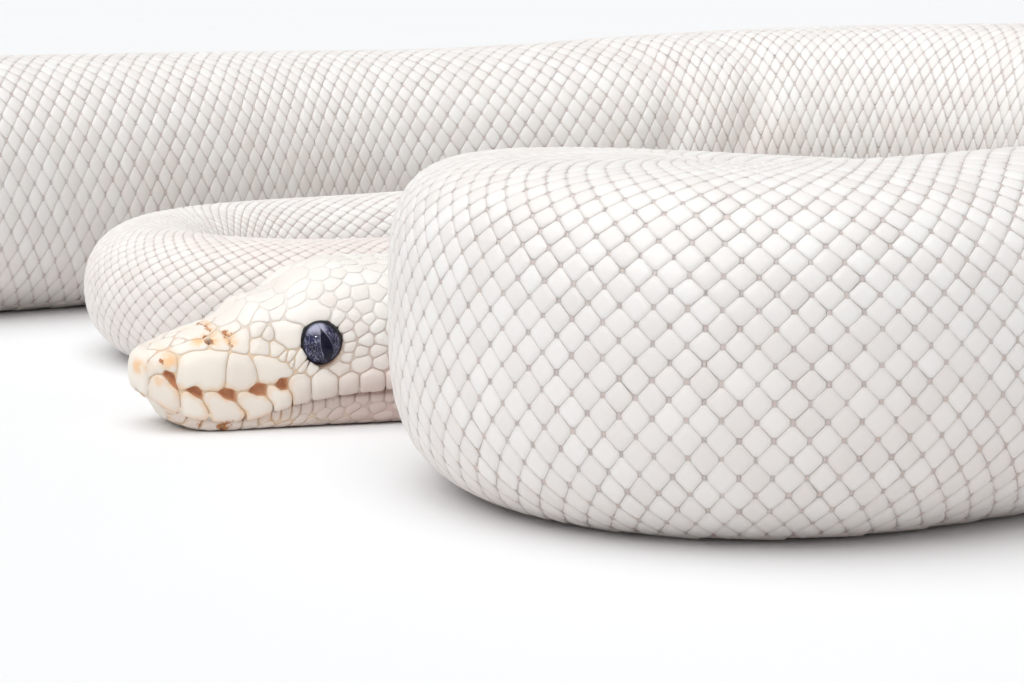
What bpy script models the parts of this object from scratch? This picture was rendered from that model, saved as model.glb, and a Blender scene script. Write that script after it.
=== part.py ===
"""Coiled ball python, life size, lying flat on the floor.

The body is one sweep along a plan of round bends joined by straight runs.
Sizes are in millimetres until a mesh is made, and +Z is up.
"""
import bmesh
import bpy
import numpy as np
from math import asin, atan2, cos, hypot, pi, radians, sin
from mathutils import Matrix, Vector

MM = 0.001
GAP = 0.3                       # clear space between neighbouring pieces

# Plan of the body: x, y and radius of each bend, and +1 where it turns left.
SNOUT = (-45.9, 300.6, 0.0, 1)
BENDS = (
    (29.9, 353.4, 15.8, 1),     # neck doubles back behind the head
    (-30.2, 361.5, 22.5, -1),   # hairpin beside the snout
    (45.0, 359.0, 50.4, -1),    # inner loop
    (25.9, 269.5, 21.1, 1),     # tight turn beside the jaw
    (45.0, 361.5, 91.0, 1),     # big outer loop
    (18.0, 297.0, 145.0, 1),    # long easy back
    (-118.0, 435.0, 42.0, -1),  # hind body curls away
    (-25.0, 400.0, 96.0, -1),   # tail follows the back round
)
TAIL_TIP = (38.0, 487.0, 0.0, 1)
BEND_EASING = 14.0              # length over which a bend eases in and out

# Height of the body along its length, from the back of the head to the tip.
BODY_STATIONS = (62, 80, 120, 190, 270, 340, 420, 510, 560, 600, 680, 820, 900, 960,
                 1053, 1134, 1214, 1259, 1303, 1362)
BODY_HEIGHTS = (17.5, 15.5, 17, 18.9, 20.2, 23, 28, 33.0, 36.8, 37.0, 39.4, 46.2, 44.4,
                41.0, 41.2, 35, 27, 22, 15, 2.4)
BODY_EASING = 20.0
BODY_WIDENING = 1.05            # the body is a little wider than tall
BELLY_CUT = 0.06                # share of the half height flattened by the floor
BACK_SQUARENESS = 2.2           # 2 is an ellipse, more is squarer
BELLY_SQUARENESS = 2.05
TIGHT_TURN = (556.0, 36.0)      # place and reach of the turn that bulges the body
TURN_BACK = 2.0                 # extra squareness of back and belly in that turn
TURN_BELLY = 0.8

# Head, by distance from the tip of the snout.
HEAD_LENGTH = 62.0
HEAD_STATIONS = (-0.3, 0.2, 1, 3, 6, 9, 11.2, 13.5, 16.3, 18.2, 20, 25, 32, 40, 48, 55, 62)
HEAD_HALF_WIDTHS = (2.0, 3.3, 4.7, 6.2, 7.3, 8.05, 8.5, 9.0, 9.55, 9.9, 10.2, 11.3, 12.8,
                    14.6, 15.4, 13.2, 9.2)
HEAD_TOPS = (8.7, 9.7, 10.3, 10.95, 12.05, 12.9, 13.75, 16.0, 16.05, 17.8, 19.0, 20.2, 20.0,
             19.6, 18.9, 18.1, 17.5)
HEAD_WIDEST = (7.6, 7.5, 7.3, 7.0, 6.6, 6.4, 6.4, 6.4, 6.65, 6.85, 7.0, 7.3, 7.6, 7.8, 8.0,
               8.2, 8.5)
HEAD_BOTTOMS = (5.4, 4.2, 2.9, 0.8, -0.1, -0.3, -0.3, -0.3, -0.3, -0.3, -0.3,
                -0.3, -0.3, -0.3, -0.4, -0.5, -0.5)
HEAD_SQUARENESS = 2.35
LIP_SQUARENESS = 6.0
CHIN_SQUARENESS = 3.6           # the chin is round and squares off over this length
CHIN_REACH = (1.0, 7.0)

# Mouth line: distance from the snout and height of the lower edge of the lip.
MOUTH = ((-4, 3.9), (2, 3.7), (4, 2.7), (7.5, 2.0), (11, 1.9), (14.5, 2.7), (18, 3.7),
         (24, 4.2), (30, 4.4), (38, 5.0), (48, 6.0))
JAW_START = 1.7
JAW_END = 48.0

EYE_PLACE = 20.9                # distance of the eyes from the snout
EYE_HEIGHT = 10.5
EYE_REACH = 8.3                 # distance of the eye's centre from the midline
EYE_RADIUS = 2.9

RING_SIDES = 24
RING_STEP = 14.0
RING_TURN = radians(13)
PIECE_LENGTH = 135.0
PIECE_TURN = radians(70)
NECK_END = 190.0
TAIL_START = 1250.0

SCALE_WHITE = (0.83, 0.80, 0.76)
HEAD_WHITE = (0.86, 0.82, 0.74)
JAW_CREAM = (0.74, 0.66, 0.58)
EYE_BLUE = (0.035, 0.045, 0.085)


def soften(values, reach):
    """Smooth evenly spaced rows with a bell-shaped window, keeping both ends."""
    rows = np.atleast_2d(np.asarray(values, float).T).T
    half = int(reach)
    bell = np.hanning(2 * half + 3)[1:-1]
    steps = np.arange(1, half + 1)[:, None]
    before = rows[0] - (rows[1] - rows[0]) * steps[::-1]
    after = rows[-1] + (rows[-1] - rows[-2]) * steps
    padded = np.concatenate([before, rows, after])
    smooth = [np.convolve(column, bell / bell.sum(), "valid") for column in padded.T]
    return np.stack(smooth, axis=1)


def common_tangent(first, second):
    """Heading of the straight run from one bend to the next."""
    dx, dy = second[0] - first[0], second[1] - first[1]
    offset = second[3] * second[2] - first[3] * first[2]
    return atan2(dy, dx) - asin(offset / hypot(dx, dy))


def on_bend(bend, heading):
    """Point of a bend where the body runs in the given heading."""
    x, y, radius, side = bend
    return (x + side * radius * sin(heading), y - side * radius * cos(heading))


def body_line():
    """Spine in plan: place along the body, x, y and heading, every millimetre."""
    stops = (SNOUT, *BENDS, TAIL_TIP)
    heading = common_tangent(stops[0], stops[1])
    points = [SNOUT[:2]]
    for index in range(1, len(stops) - 1):
        bend = stops[index]
        leaving = common_tangent(bend, stops[index + 1])
        sweep = bend[3] * ((bend[3] * (leaving - heading)) % (2 * pi))
        for share in np.linspace(0, 1, 90):
            points.append(on_bend(bend, heading + share * sweep))
        heading = leaving
    points.append(TAIL_TIP[:2])
    eased = soften(evenly(np.array(points)), BEND_EASING)
    line = evenly(eased)
    slopes = np.gradient(line, axis=0)
    headings = np.unwrap(np.arctan2(slopes[:, 1], slopes[:, 0]))
    return np.arange(len(line), dtype=float), line[:, 0], line[:, 1], headings


def evenly(points):
    """Resample a polyline every millimetre."""
    runs = np.concatenate([[0], np.cumsum(np.hypot(*np.diff(points, axis=0).T))])
    places = np.arange(0, runs[-1], 1.0)
    return np.stack([np.interp(places, runs, column) for column in points.T], axis=1)


PLACES, LINE_X, LINE_Y, HEADINGS = body_line()
BODY_LENGTH = PLACES[-1]
HEIGHTS = soften(np.interp(PLACES, BODY_STATIONS, BODY_HEIGHTS), BODY_EASING)[:, 0]


def spot(place):
    """Plan point and heading at a distance from the snout."""
    x = np.interp(place, PLACES, LINE_X)
    y = np.interp(place, PLACES, LINE_Y)
    heading = np.interp(place, PLACES, HEADINGS)
    return x, y, heading


def superellipse(angle, width, height, squareness):
    """Point of a rounded square that is measured by its half width and height."""
    c, s = cos(angle), sin(angle)
    power = 2 / squareness
    return (width * np.sign(c) * abs(c) ** power, height * np.sign(s) * abs(s) ** power)


def body_section(place):
    """Across and up coordinates round the neck, trunk or tail."""
    height = float(np.interp(place, PLACES, HEIGHTS))
    half_height = height / (2 - BELLY_CUT)
    where, reach = TIGHT_TURN
    bulge = np.exp(-((place - where) / reach) ** 2)
    back = BACK_SQUARENESS + TURN_BACK * bulge
    belly = BELLY_SQUARENESS + TURN_BELLY * bulge
    middle = half_height * (1 - BELLY_CUT)
    ring = []
    for side in range(RING_SIDES):
        angle = 2 * pi * side / RING_SIDES - pi / 2
        squareness = back if sin(angle) > 0 else belly
        across, up = superellipse(angle, BODY_WIDENING * height / 2, half_height,
                                  squareness)
        ring.append((across, max(middle + up, 0.0)))
    return ring


def head_section(place):
    """Across and up coordinates round the head."""
    half_width = np.interp(place, HEAD_STATIONS, HEAD_HALF_WIDTHS)
    top = np.interp(place, HEAD_STATIONS, HEAD_TOPS)
    widest = np.interp(place, HEAD_STATIONS, HEAD_WIDEST)
    bottom = np.interp(place, HEAD_STATIONS, HEAD_BOTTOMS)
    lower = np.interp(place, CHIN_REACH, (CHIN_SQUARENESS, LIP_SQUARENESS))
    ring = []
    for side in range(RING_SIDES):
        angle = 2 * pi * side / RING_SIDES - pi / 2
        upper = sin(angle) > 0
        reach = top - widest if upper else widest - bottom
        squareness = HEAD_SQUARENESS if upper else lower
        across, up = superellipse(angle, half_width, reach, squareness)
        ring.append((across, max(widest + up, 0.0)))
    return ring


def stand_ring(section, x, y, heading, shift=0.0):
    """Set a section upright across the spine; shift moves it along the spine."""
    ahead = (cos(heading), sin(heading))
    left = (-sin(heading), cos(heading))
    return [(x + shift * ahead[0] + across * left[0],
             y + shift * ahead[1] + across * left[1], up) for across, up in section]


def rings_between(start, end):
    """Places of the rings of one length, closer together in a bend."""
    s = np.arange(start, end, 1.0)
    turn = np.abs(np.gradient(np.interp(s, PLACES, HEADINGS)))
    effort = np.concatenate([[0], np.cumsum(np.maximum(turn / RING_TURN, 1 / RING_STEP))])
    count = max(2, int(np.ceil(effort[-1])) + 1)
    marks = np.linspace(0, effort[-1], count)
    return np.interp(marks, effort, np.append(s, end))


def lofted(name, rings, colour, roughness=0.5):
    """Closed skin over a row of rings, as one object."""
    mesh = bmesh.new()
    loops = [[mesh.verts.new(Vector(point) * MM) for point in ring] for ring in rings]
    for near, far in zip(loops, loops[1:]):
        for index in range(len(near)):
            after = (index + 1) % len(near)
            mesh.faces.new((near[index], near[after], far[after], far[index]))
    mesh.faces.new(loops[0][::-1])
    mesh.faces.new(loops[-1])
    return finished(name, mesh, colour, roughness)


def finished(name, mesh, colour, roughness):
    """Turn a bmesh into an object with its own material."""
    bmesh.ops.recalc_face_normals(mesh, faces=mesh.faces)
    for face in mesh.faces:
        face.smooth = len(face.verts) < 8
    data = bpy.data.meshes.new(name)
    mesh.to_mesh(data)
    mesh.free()
    piece = bpy.data.objects.new(name, data)
    bpy.context.scene.collection.objects.link(piece)
    material = bpy.data.materials.new(name)
    material.use_nodes = True
    shader = material.node_tree.nodes["Principled BSDF"]
    shader.inputs["Base Color"].default_value = (*colour, 1)
    shader.inputs["Roughness"].default_value = roughness
    shader.inputs["Metallic"].default_value = 0
    data.materials.append(material)
    return piece


def body_length(name, start, end):
    """One length of the body between two flat cuts."""
    places = rings_between(start, end)
    rings = []
    for index, place in enumerate(places):
        shift = 0.0
        if index == 0:
            shift = GAP / 2
        if index == len(places) - 1 and end < BODY_LENGTH:
            shift = -GAP / 2
        rings.append(stand_ring(body_section(place), *spot(place), shift))
    return lofted(name, rings, SCALE_WHITE)


def cut_places():
    """Ends of the lengths: a new one starts after enough length or turning."""
    cuts = [HEAD_LENGTH]
    pieces = 0.0
    for place in np.arange(HEAD_LENGTH, BODY_LENGTH - 60, 1.0):
        turn = abs(np.interp(place + 1, PLACES, HEADINGS) - np.interp(place, PLACES, HEADINGS))
        pieces += max(turn / PIECE_TURN, 1 / PIECE_LENGTH)
        if pieces >= 1:
            cuts.append(place)
            pieces = 0.0
    return cuts + [BODY_LENGTH]


def body_names(cuts):
    """Name each length by the region that its middle lies in."""
    names = []
    counts = {"neck": 0, "trunk": 0, "tail": 0}
    for start, end in zip(cuts, cuts[1:]):
        middle = (start + end) / 2
        region = "neck" if middle < NECK_END else "tail" if middle > TAIL_START else "trunk"
        counts[region] += 1
        names.append(f"{region}_{counts[region]:02d}")
    return names


def in_head(along, across, up):
    """World point of a place in the head, in millimetres."""
    x, y, heading = spot(0)
    return Vector((x + along * cos(heading) - across * sin(heading),
                   y + along * sin(heading) + across * cos(heading), up))


def mouth_cutter(name, drop, back):
    """Block below the mouth line, lowered by drop, that ends at back."""
    profile = [(along, up - drop) for along, up in MOUTH if along < back]
    profile.append((back, np.interp(back, *zip(*MOUTH)) - drop))
    profile += [(back, -6.0), (MOUTH[0][0], -6.0)]
    rings = [[in_head(along, across, up) for along, up in profile] for across in (-24, 24)]
    return lofted(name, rings, JAW_CREAM)


def eye(name, side, radius):
    """Ball of an eye, or its socket, on the side +1 or -1."""
    mesh = bmesh.new()
    bmesh.ops.create_uvsphere(mesh, u_segments=16, v_segments=10, radius=radius * MM)
    centre = in_head(EYE_PLACE, side * EYE_REACH, EYE_HEIGHT) * MM
    bmesh.ops.translate(mesh, verts=mesh.verts, vec=centre)
    return finished(name, mesh, EYE_BLUE, 0.08)


def carve(piece, cutter, operation):
    """Cut a piece by a Boolean and keep the result as its own mesh."""
    modifier = piece.modifiers.new("cut", "BOOLEAN")
    modifier.operation = operation
    modifier.solver = "EXACT"
    modifier.object = cutter
    bpy.context.view_layer.update()
    graph = bpy.context.evaluated_depsgraph_get()
    result = bpy.data.meshes.new_from_object(piece.evaluated_get(graph))
    piece.modifiers.remove(modifier)
    piece.data = result
    bpy.data.objects.remove(cutter)


def head_pieces():
    """Upper head with its eye sockets, lower jaw and both eyes."""
    places = [place for place in HEAD_STATIONS if place < HEAD_LENGTH]
    x, y, heading = spot(0)
    rings = [stand_ring(head_section(place), x, y, heading, place) for place in places]
    neck_ring = body_section(HEAD_LENGTH)
    rings.append(stand_ring(neck_ring, x, y, heading, HEAD_LENGTH - GAP / 2))
    head = lofted("head", rings, HEAD_WHITE)
    jaw_rings = [ring for ring, place in zip(rings, places) if place >= JAW_START]
    jaw_front = stand_ring(head_section(JAW_START), x, y, heading, JAW_START)
    jaw = lofted("lower_jaw", [jaw_front, *jaw_rings], JAW_CREAM)
    carve(head, mouth_cutter("mouth_cutter", 0.0, JAW_END), "DIFFERENCE")
    carve(jaw, mouth_cutter("jaw_cutter", GAP, JAW_END - GAP), "INTERSECT")
    for name, side in (("eye_left", -1), ("eye_right", 1)):
        carve(head, eye("socket_cutter", side, EYE_RADIUS + GAP), "DIFFERENCE")
        eye(name, side, EYE_RADIUS)


def centre_on_floor():
    """Move everything so that the middle of its outline is the origin."""
    pieces = bpy.context.scene.objects
    points = np.array([vertex.co for piece in pieces for vertex in piece.data.vertices])
    low, high = points.min(axis=0), points.max(axis=0)
    middle = Vector((-(low[0] + high[0]) / 2, -(low[1] + high[1]) / 2, 0))
    for piece in pieces:
        piece.data.transform(Matrix.Translation(middle))


def main():
    """Build the whole animal in an empty scene."""
    for old in list(bpy.data.objects):
        bpy.data.objects.remove(old)
    head_pieces()
    cuts = cut_places()
    for name, start, end in zip(body_names(cuts), cuts, cuts[1:]):
        body_length(name, start, end)
    centre_on_floor()


main()
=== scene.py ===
"""Looks of the coiled white ball python: one skin, its scales, head shields and eyes.

Lengths are in millimetres until a mesh is made. Every point of the animal has
  place    distance along the spine from the snout
  around   share of the girth from the ridge of the back, below zero on its left
  lift     height above the skin
"""
from math import asin, atan2, ceil, cos, hypot, pi, radians, sin, sqrt

import bpy
import numpy as np
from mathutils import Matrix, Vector
from mathutils.bvhtree import BVHTree


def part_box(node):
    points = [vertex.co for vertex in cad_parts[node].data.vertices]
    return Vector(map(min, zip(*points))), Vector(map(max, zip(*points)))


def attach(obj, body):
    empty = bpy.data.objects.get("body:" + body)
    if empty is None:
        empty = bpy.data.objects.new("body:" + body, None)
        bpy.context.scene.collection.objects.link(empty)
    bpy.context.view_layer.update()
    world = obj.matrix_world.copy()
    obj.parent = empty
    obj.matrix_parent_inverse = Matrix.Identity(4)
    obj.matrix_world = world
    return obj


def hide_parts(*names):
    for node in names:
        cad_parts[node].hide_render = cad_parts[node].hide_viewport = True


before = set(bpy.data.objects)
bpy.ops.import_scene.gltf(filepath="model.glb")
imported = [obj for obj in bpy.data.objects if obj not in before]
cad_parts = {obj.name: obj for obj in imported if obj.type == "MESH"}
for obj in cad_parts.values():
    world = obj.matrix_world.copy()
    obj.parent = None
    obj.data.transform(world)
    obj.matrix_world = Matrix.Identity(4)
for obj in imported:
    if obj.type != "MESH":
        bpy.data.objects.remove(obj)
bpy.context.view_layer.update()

MM = 0.001
NODES = list(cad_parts)

# ---------------------------------------------------------------- the animal's route and girth

SNOUT = (-45.9, 300.6, 0.0, 1)
BENDS = (                       # x, y, radius, side
    (29.9, 353.4, 15.8, 1),     # neck doubles back behind the head
    (-30.2, 361.5, 22.5, -1),   # hairpin beside the snout
    (45.0, 359.0, 50.4, -1),    # inner loop
    (25.9, 269.5, 21.1, 1),     # tight turn beside the jaw
    (45.0, 361.5, 91.0, 1),     # big outer loop
    (18.0, 297.0, 145.0, 1),    # long easy back
    (-118.0, 435.0, 42.0, -1),  # hind body curls away
    (-25.0, 400.0, 96.0, -1),   # tail follows the back round
)
TAIL_TIP = (38.0, 487.0, 0.0, 1)
BEND_EASING = 14

BODY_STATIONS = (62, 80, 120, 190, 270, 340, 420, 510, 560, 600,
                 680, 820, 900, 960, 1053, 1134, 1214, 1259, 1303, 1362)
BODY_HEIGHTS = (17.5, 15.5, 17, 18.9, 20.2, 23, 28, 33.0, 36.8, 37.0,
                39.4, 46.2, 44.4, 41.0, 41.2, 35, 27, 22, 15, 2.4)
BODY_EASING = 20
BODY_WIDENING = 1.05
BELLY_CUT = 0.06
BACK_SQUARENESS = 2.2
BELLY_SQUARENESS = 2.05
TIGHT_TURN = (556.0, 36.0)
TURN_BACK = 2.0
TURN_BELLY = 0.8

HEAD_LENGTH = 62.0
HEAD_STATIONS = (-0.3, 0.2, 1, 3, 6, 9, 11.2, 13.5, 16.3, 18.2, 20, 25, 32, 40, 48, 55, 62)
HEAD_HALF_WIDTHS = (2.0, 3.3, 4.7, 6.2, 7.3, 8.05, 8.5, 9.0, 9.55, 9.9, 10.2,
                    11.3, 12.8, 14.6, 15.4, 13.2, 9.2)
HEAD_TOPS = (8.7, 9.7, 10.3, 10.95, 12.05, 12.9, 13.75, 16.0, 16.05, 17.8, 19.0,
             20.2, 20.0, 19.6, 18.9, 18.1, 17.5)
HEAD_WIDEST = (7.6, 7.5, 7.3, 7.0, 6.6, 6.4, 6.4, 6.4, 6.65, 6.85, 7.0, 7.3, 7.6, 7.8, 8.0, 8.2, 8.5)
HEAD_BOTTOMS = (5.4, 4.2, 2.9, 0.8, -0.1, -0.3, -0.3, -0.3, -0.3, -0.3, -0.3,
                -0.3, -0.3, -0.3, -0.4, -0.5, -0.5)
HEAD_SQUARENESS = 2.35
LIP_SQUARENESS = 6.0
CHIN_SQUARENESS = 3.6           # the chin is round and squares off over this length
CHIN_REACH = (1.0, 7.0)
NECK_BLEND = 16.0               # length over which the head's section becomes the neck's

LEFT, RIGHT = -1, 1
EYE_PLACE, EYE_REACH, EYE_HEIGHT, EYE_RADIUS = 20.9, 8.3, 10.5, 2.9
EYE_OPENING = (2.38, 2.70)       # half the length and height of the hole in the face

HEAD_RINGS = 190
AROUND = 240                    # columns of the full surface; the body's skin keeps every third
BODY_STRIDE = (2, 3)
COAT_DEPTHS = ((0, 0.40), (62, 0.32), (190, 0.28), (420, 0.34), (1200, 0.34), (1368, 0.18))


def soften(values, reach):
    """Smooth evenly spaced rows with a bell-shaped window, keeping both ends."""
    rows = np.atleast_2d(np.asarray(values, float).T).T
    bell = np.hanning(2 * reach + 3)[1:-1]
    steps = np.arange(1, reach + 1)[:, None]
    before = rows[0] - (rows[1] - rows[0]) * steps[::-1]
    after = rows[-1] + (rows[-1] - rows[-2]) * steps
    padded = np.concatenate([before, rows, after])
    smooth = [np.convolve(column, bell / bell.sum(), "valid") for column in padded.T]
    return np.stack(smooth, axis=1)


def ease(value, start, end):
    """0 before start, 1 after end and a smooth step between them."""
    share = np.clip((value - start) / (end - start), 0, 1)
    return share * share * (3 - 2 * share)


def common_tangent(first, second):
    """Heading of the straight run from one bend to the next."""
    dx, dy = second[0] - first[0], second[1] - first[1]
    offset = second[3] * second[2] - first[3] * first[2]
    return atan2(dy, dx) - asin(offset / hypot(dx, dy))


def on_bend(bend, heading):
    """Point of a bend where the body runs in the given heading."""
    x, y, radius, side = bend
    return (x + side * radius * sin(heading), y - side * radius * cos(heading))


def evenly(points):
    """Resample a polyline every millimetre."""
    runs = np.concatenate([[0], np.cumsum(np.hypot(*np.diff(points, axis=0).T))])
    places = np.arange(0, runs[-1], 1.0)
    return np.stack([np.interp(places, runs, column) for column in points.T], axis=1)


def body_line():
    """Spine in plan: x, y and heading, every millimetre."""
    stops = (SNOUT, *BENDS, TAIL_TIP)
    heading = common_tangent(stops[0], stops[1])
    points = [SNOUT[:2]]
    for index in range(1, len(stops) - 1):
        bend = stops[index]
        leaving = common_tangent(bend, stops[index + 1])
        sweep = bend[3] * ((bend[3] * (leaving - heading)) % (2 * pi))
        for share in np.linspace(0, 1, 90):
            points.append(on_bend(bend, heading + share * sweep))
        heading = leaving
    points.append(TAIL_TIP[:2])
    line = evenly(soften(evenly(np.array(points)), BEND_EASING))
    slopes = np.gradient(line, axis=0)
    return line[:, 0], line[:, 1], np.unwrap(np.arctan2(slopes[:, 1], slopes[:, 0]))


LINE_X, LINE_Y, HEADINGS = body_line()
BODY_LENGTH = len(LINE_X) - 1.0
HEAD_TURN = HEADINGS[0]
AHEAD = np.array([cos(HEAD_TURN), sin(HEAD_TURN), 0.0])     # from the snout to the neck
ACROSS = np.array([-sin(HEAD_TURN), cos(HEAD_TURN), 0.0])   # to the animal's right
SNOUT_POINT = np.array([LINE_X[0], LINE_Y[0], 0.0])


def head_point(along, across, up):
    """Point of the head before the animal is set in the frame."""
    return SNOUT_POINT + AHEAD * along + ACROSS * across + np.array([0.0, 0.0, up])


def frame_shift():
    """Step from the route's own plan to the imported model's frame."""
    low, high = (np.array(corner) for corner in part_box("eye_left"))
    return (low + high) / 2 / MM - head_point(EYE_PLACE, LEFT * EYE_REACH, EYE_HEIGHT)


SHIFT = frame_shift()
SHIFT[2] = 0.0


# ---------------------------------------------------------------- the surface under the scales

def section_sizes():
    """Places of the rings and, for each, half width, top, widest, bottom and squareness."""
    marks = np.linspace(0, sqrt(HEAD_LENGTH - HEAD_STATIONS[0]), HEAD_RINGS)
    head_places = marks ** 2 + HEAD_STATIONS[0]
    tables = (HEAD_HALF_WIDTHS, HEAD_TOPS, HEAD_WIDEST, HEAD_BOTTOMS)
    station_marks = np.sqrt(np.array(HEAD_STATIONS) - HEAD_STATIONS[0])
    head = np.stack([np.interp(marks, station_marks, table) for table in tables], axis=1)
    head = soften(head, 5)
    body_places = np.arange(HEAD_LENGTH + 1, BODY_LENGTH + 0.5)
    every = np.arange(BODY_LENGTH + 1)
    heights = soften(np.interp(every, BODY_STATIONS, BODY_HEIGHTS), BODY_EASING)[:, 0]

    def body_sizes(places):
        height = np.interp(places, every, heights)
        half = height / (2 - BELLY_CUT)
        middle = half * (1 - BELLY_CUT)
        return np.stack([BODY_WIDENING * height / 2, middle + half, middle, middle - half], axis=1)

    mend = body_sizes(np.array([HEAD_LENGTH]))[0] - head[-1]
    blend = ease(head_places, HEAD_LENGTH - NECK_BLEND, HEAD_LENGTH)[:, None]
    places = np.concatenate([head_places, body_places])
    sizes = np.concatenate([head + blend * mend, body_sizes(body_places)])
    bulge = np.exp(-((places - TIGHT_TURN[0]) / TIGHT_TURN[1]) ** 2)
    neck = ease(places, HEAD_LENGTH - NECK_BLEND, HEAD_LENGTH)
    back = HEAD_SQUARENESS + neck * (BACK_SQUARENESS - HEAD_SQUARENESS) + TURN_BACK * bulge
    lips = np.interp(places, CHIN_REACH, (CHIN_SQUARENESS, LIP_SQUARENESS))
    belly = lips + neck * (BELLY_SQUARENESS - lips) + TURN_BELLY * bulge
    return places, sizes, back, belly


def bare_rings():
    """Rings of the true outline, each with its points an equal step apart."""
    places, sizes, backs, bellies = section_sizes()
    angles = np.linspace(-pi, pi, 961)
    s, c = np.sin(angles), np.cos(angles)
    rings = []
    for place, (half_width, top, widest, bottom), back, belly in zip(places, sizes, backs, bellies):
        power = np.where(c > 0, 2 / back, 2 / belly)
        reach = np.where(c > 0, top - widest, widest - bottom)
        across = half_width * np.sign(s) * np.abs(s) ** power
        up = widest + reach * np.sign(c) * np.abs(c) ** power
        runs = np.concatenate([[0], np.cumsum(np.hypot(np.diff(across), np.diff(up)))])
        marks = np.linspace(0, runs[-1], AROUND + 1)
        across = np.interp(marks, runs, across)
        up = np.interp(marks, runs, up)
        if place <= HEAD_LENGTH:
            centre, left = SNOUT_POINT + AHEAD * place, ACROSS
        else:
            at = min(int(place), len(LINE_X) - 1)
            centre = np.array([LINE_X[at], LINE_Y[at], 0.0])
            left = np.array([-sin(HEADINGS[at]), cos(HEADINGS[at]), 0.0])
        ring = centre + across[:, None] * left
        ring[:, 2] = up
        rings.append(ring)
    return places, np.array(rings) + SHIFT


def outward(rings):
    """Unit normals of a table of rings."""
    normals = np.cross(np.gradient(rings, axis=0), np.gradient(rings, axis=1))
    return normals / np.maximum(np.linalg.norm(normals, axis=2, keepdims=True), 1e-9)


def run_lengths(places, rings):
    """How far the surface runs for each millimetre of spine, and the girth of each ring."""
    runs = np.linalg.norm(np.gradient(rings, axis=0), axis=2) / np.gradient(places)[:, None]
    girths = np.linalg.norm(np.diff(rings, axis=1), axis=2).sum(axis=1)
    return runs, girths


MOUTH_LINE = ((0.2, 4.3), (1.6, 3.75), (3.7, 2.35), (7.0, 1.7), (11.2, 1.8), (14.5, 2.7), (16.8, 3.3),
              (19.1, 3.7), (22.3, 4.1), (28.0, 4.6), (34.0, 5.0), (40.0, 5.8))
MOUTH_END = 40.0
JAW_RECESS = 0.7
BACK_FOLDS = ((926.0, 0.17, 1.3), (908.0, 0.15, 1.2), (1118.0, 0.2, 0.8))
FOLD_WIDTH = 4.2


def mouth_height(place):
    """Height of the lip at a place of the head."""
    return np.interp(place, *zip(*MOUTH_LINE))


def jaw_recess(place, height):
    """How far the lower jaw is set back behind the upper lip, least at the chin's underside."""
    below = mouth_height(place) - height
    sink = JAW_RECESS * ease(below, -0.15, 0.2)
    sink = sink * (1 - 0.8 * ease(below / mouth_height(place), 0.35, 0.95))
    return sink * (1 - 0.25 * ease(place, 16, 26)) * (1 - ease(place, MOUTH_END - 8, MOUTH_END + 2))


def relief(places, rings, runs):
    """How far the surface sinks: under the lip, over the cheeks and in the folds of the body."""
    place = np.broadcast_to(places[:, None], rings.shape[:2])
    around = np.broadcast_to(np.linspace(-0.5, 0.5, AROUND + 1), rings.shape[:2])
    sink = jaw_recess(place, rings[..., 2])
    canthus = np.exp(-((place - 14.5) / 4.5) ** 2 - ((rings[..., 2] - 11.0) / 1.9) ** 2)
    sink = sink + 0.45 * canthus
    for centre, share, depth in BACK_FOLDS:
        line = centre + 9 * (around - share) ** 2 / 0.02 + 1.2 * np.sin(around * 31)
        fade = np.exp(-((around - share) / 0.115) ** 4)
        sink = sink + depth * np.exp(-((place - line) / FOLD_WIDTH) ** 2) * fade
    gathers = np.clip(0.78 - runs, 0, 0.4) * ease(place, 70, 95)
    sink = sink + gathers * (0.5 + 0.5 * np.sin(2 * pi * place / 4.1 + 2 * np.sin(around * 23)))
    muscle = np.sin(place / 19 + 2 * np.sin(around * 5)) * np.sin(around * 9 + place / 47)
    return sink + 0.11 * (1 + muscle) * ease(place, 60, 140)


def capped(places, rings, normals, at_snout):
    """Add shrinking rings that round off an open end of the table."""
    end = 0 if at_snout else -1
    centre = rings[end].mean(axis=0)
    outwards = -AHEAD if at_snout else rings[-1].mean(axis=0) - rings[-3].mean(axis=0)
    outwards = outwards / np.linalg.norm(outwards)
    steps = ((0.93, 0.10, 0.45), (0.72, 0.20, 0.8), (0.4, 0.27, 0.95), (0.05, 0.3, 1.0))
    extra = []
    for shrink, ahead, tilt in steps:
        ring = centre + (rings[end] - centre) * shrink + outwards * ahead
        normal = normals[end] * (1 - tilt) + outwards * tilt
        normal = normal / np.linalg.norm(normal, axis=1, keepdims=True)
        extra.append((places[end] + (-ahead if at_snout else ahead), ring, normal))
    if at_snout:
        extra = extra[::-1]
    more = [np.array(column) for column in zip(*extra)]
    order = (lambda old, new: (new, old)) if at_snout else (lambda old, new: (old, new))
    return tuple(np.concatenate(order(old, new)) for old, new in zip((places, rings, normals), more))


def skin_table():
    """Places, the skin's rings and normals, both again without its hollows, run lengths and girths."""
    places, rings = bare_rings()
    normals = outward(rings)
    runs, _ = run_lengths(places, rings)
    depth = np.interp(places, *zip(*COAT_DEPTHS))[:, None]
    depth = depth * (1 - 0.6 * (1 - ease(rings[..., 2], 0.3, 1.6)) * (places < HEAD_LENGTH)[:, None])
    tables = []
    for sinking in (depth, depth + relief(places, rings, runs)):
        sunk = rings - normals * sinking[..., None]
        sunk[..., 2] = np.maximum(sunk[..., 2], depth)
        table = capped(places, sunk, outward(sunk), True)
        tables.append(capped(*table, False))
    runs, girths = run_lengths(tables[0][0], tables[0][1])
    return *tables[1], *tables[0][1:], runs, girths


PLACES, RINGS, NORMALS, PLAIN_RINGS, PLAIN_NORMALS, RUNS, GIRTHS = skin_table()


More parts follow.
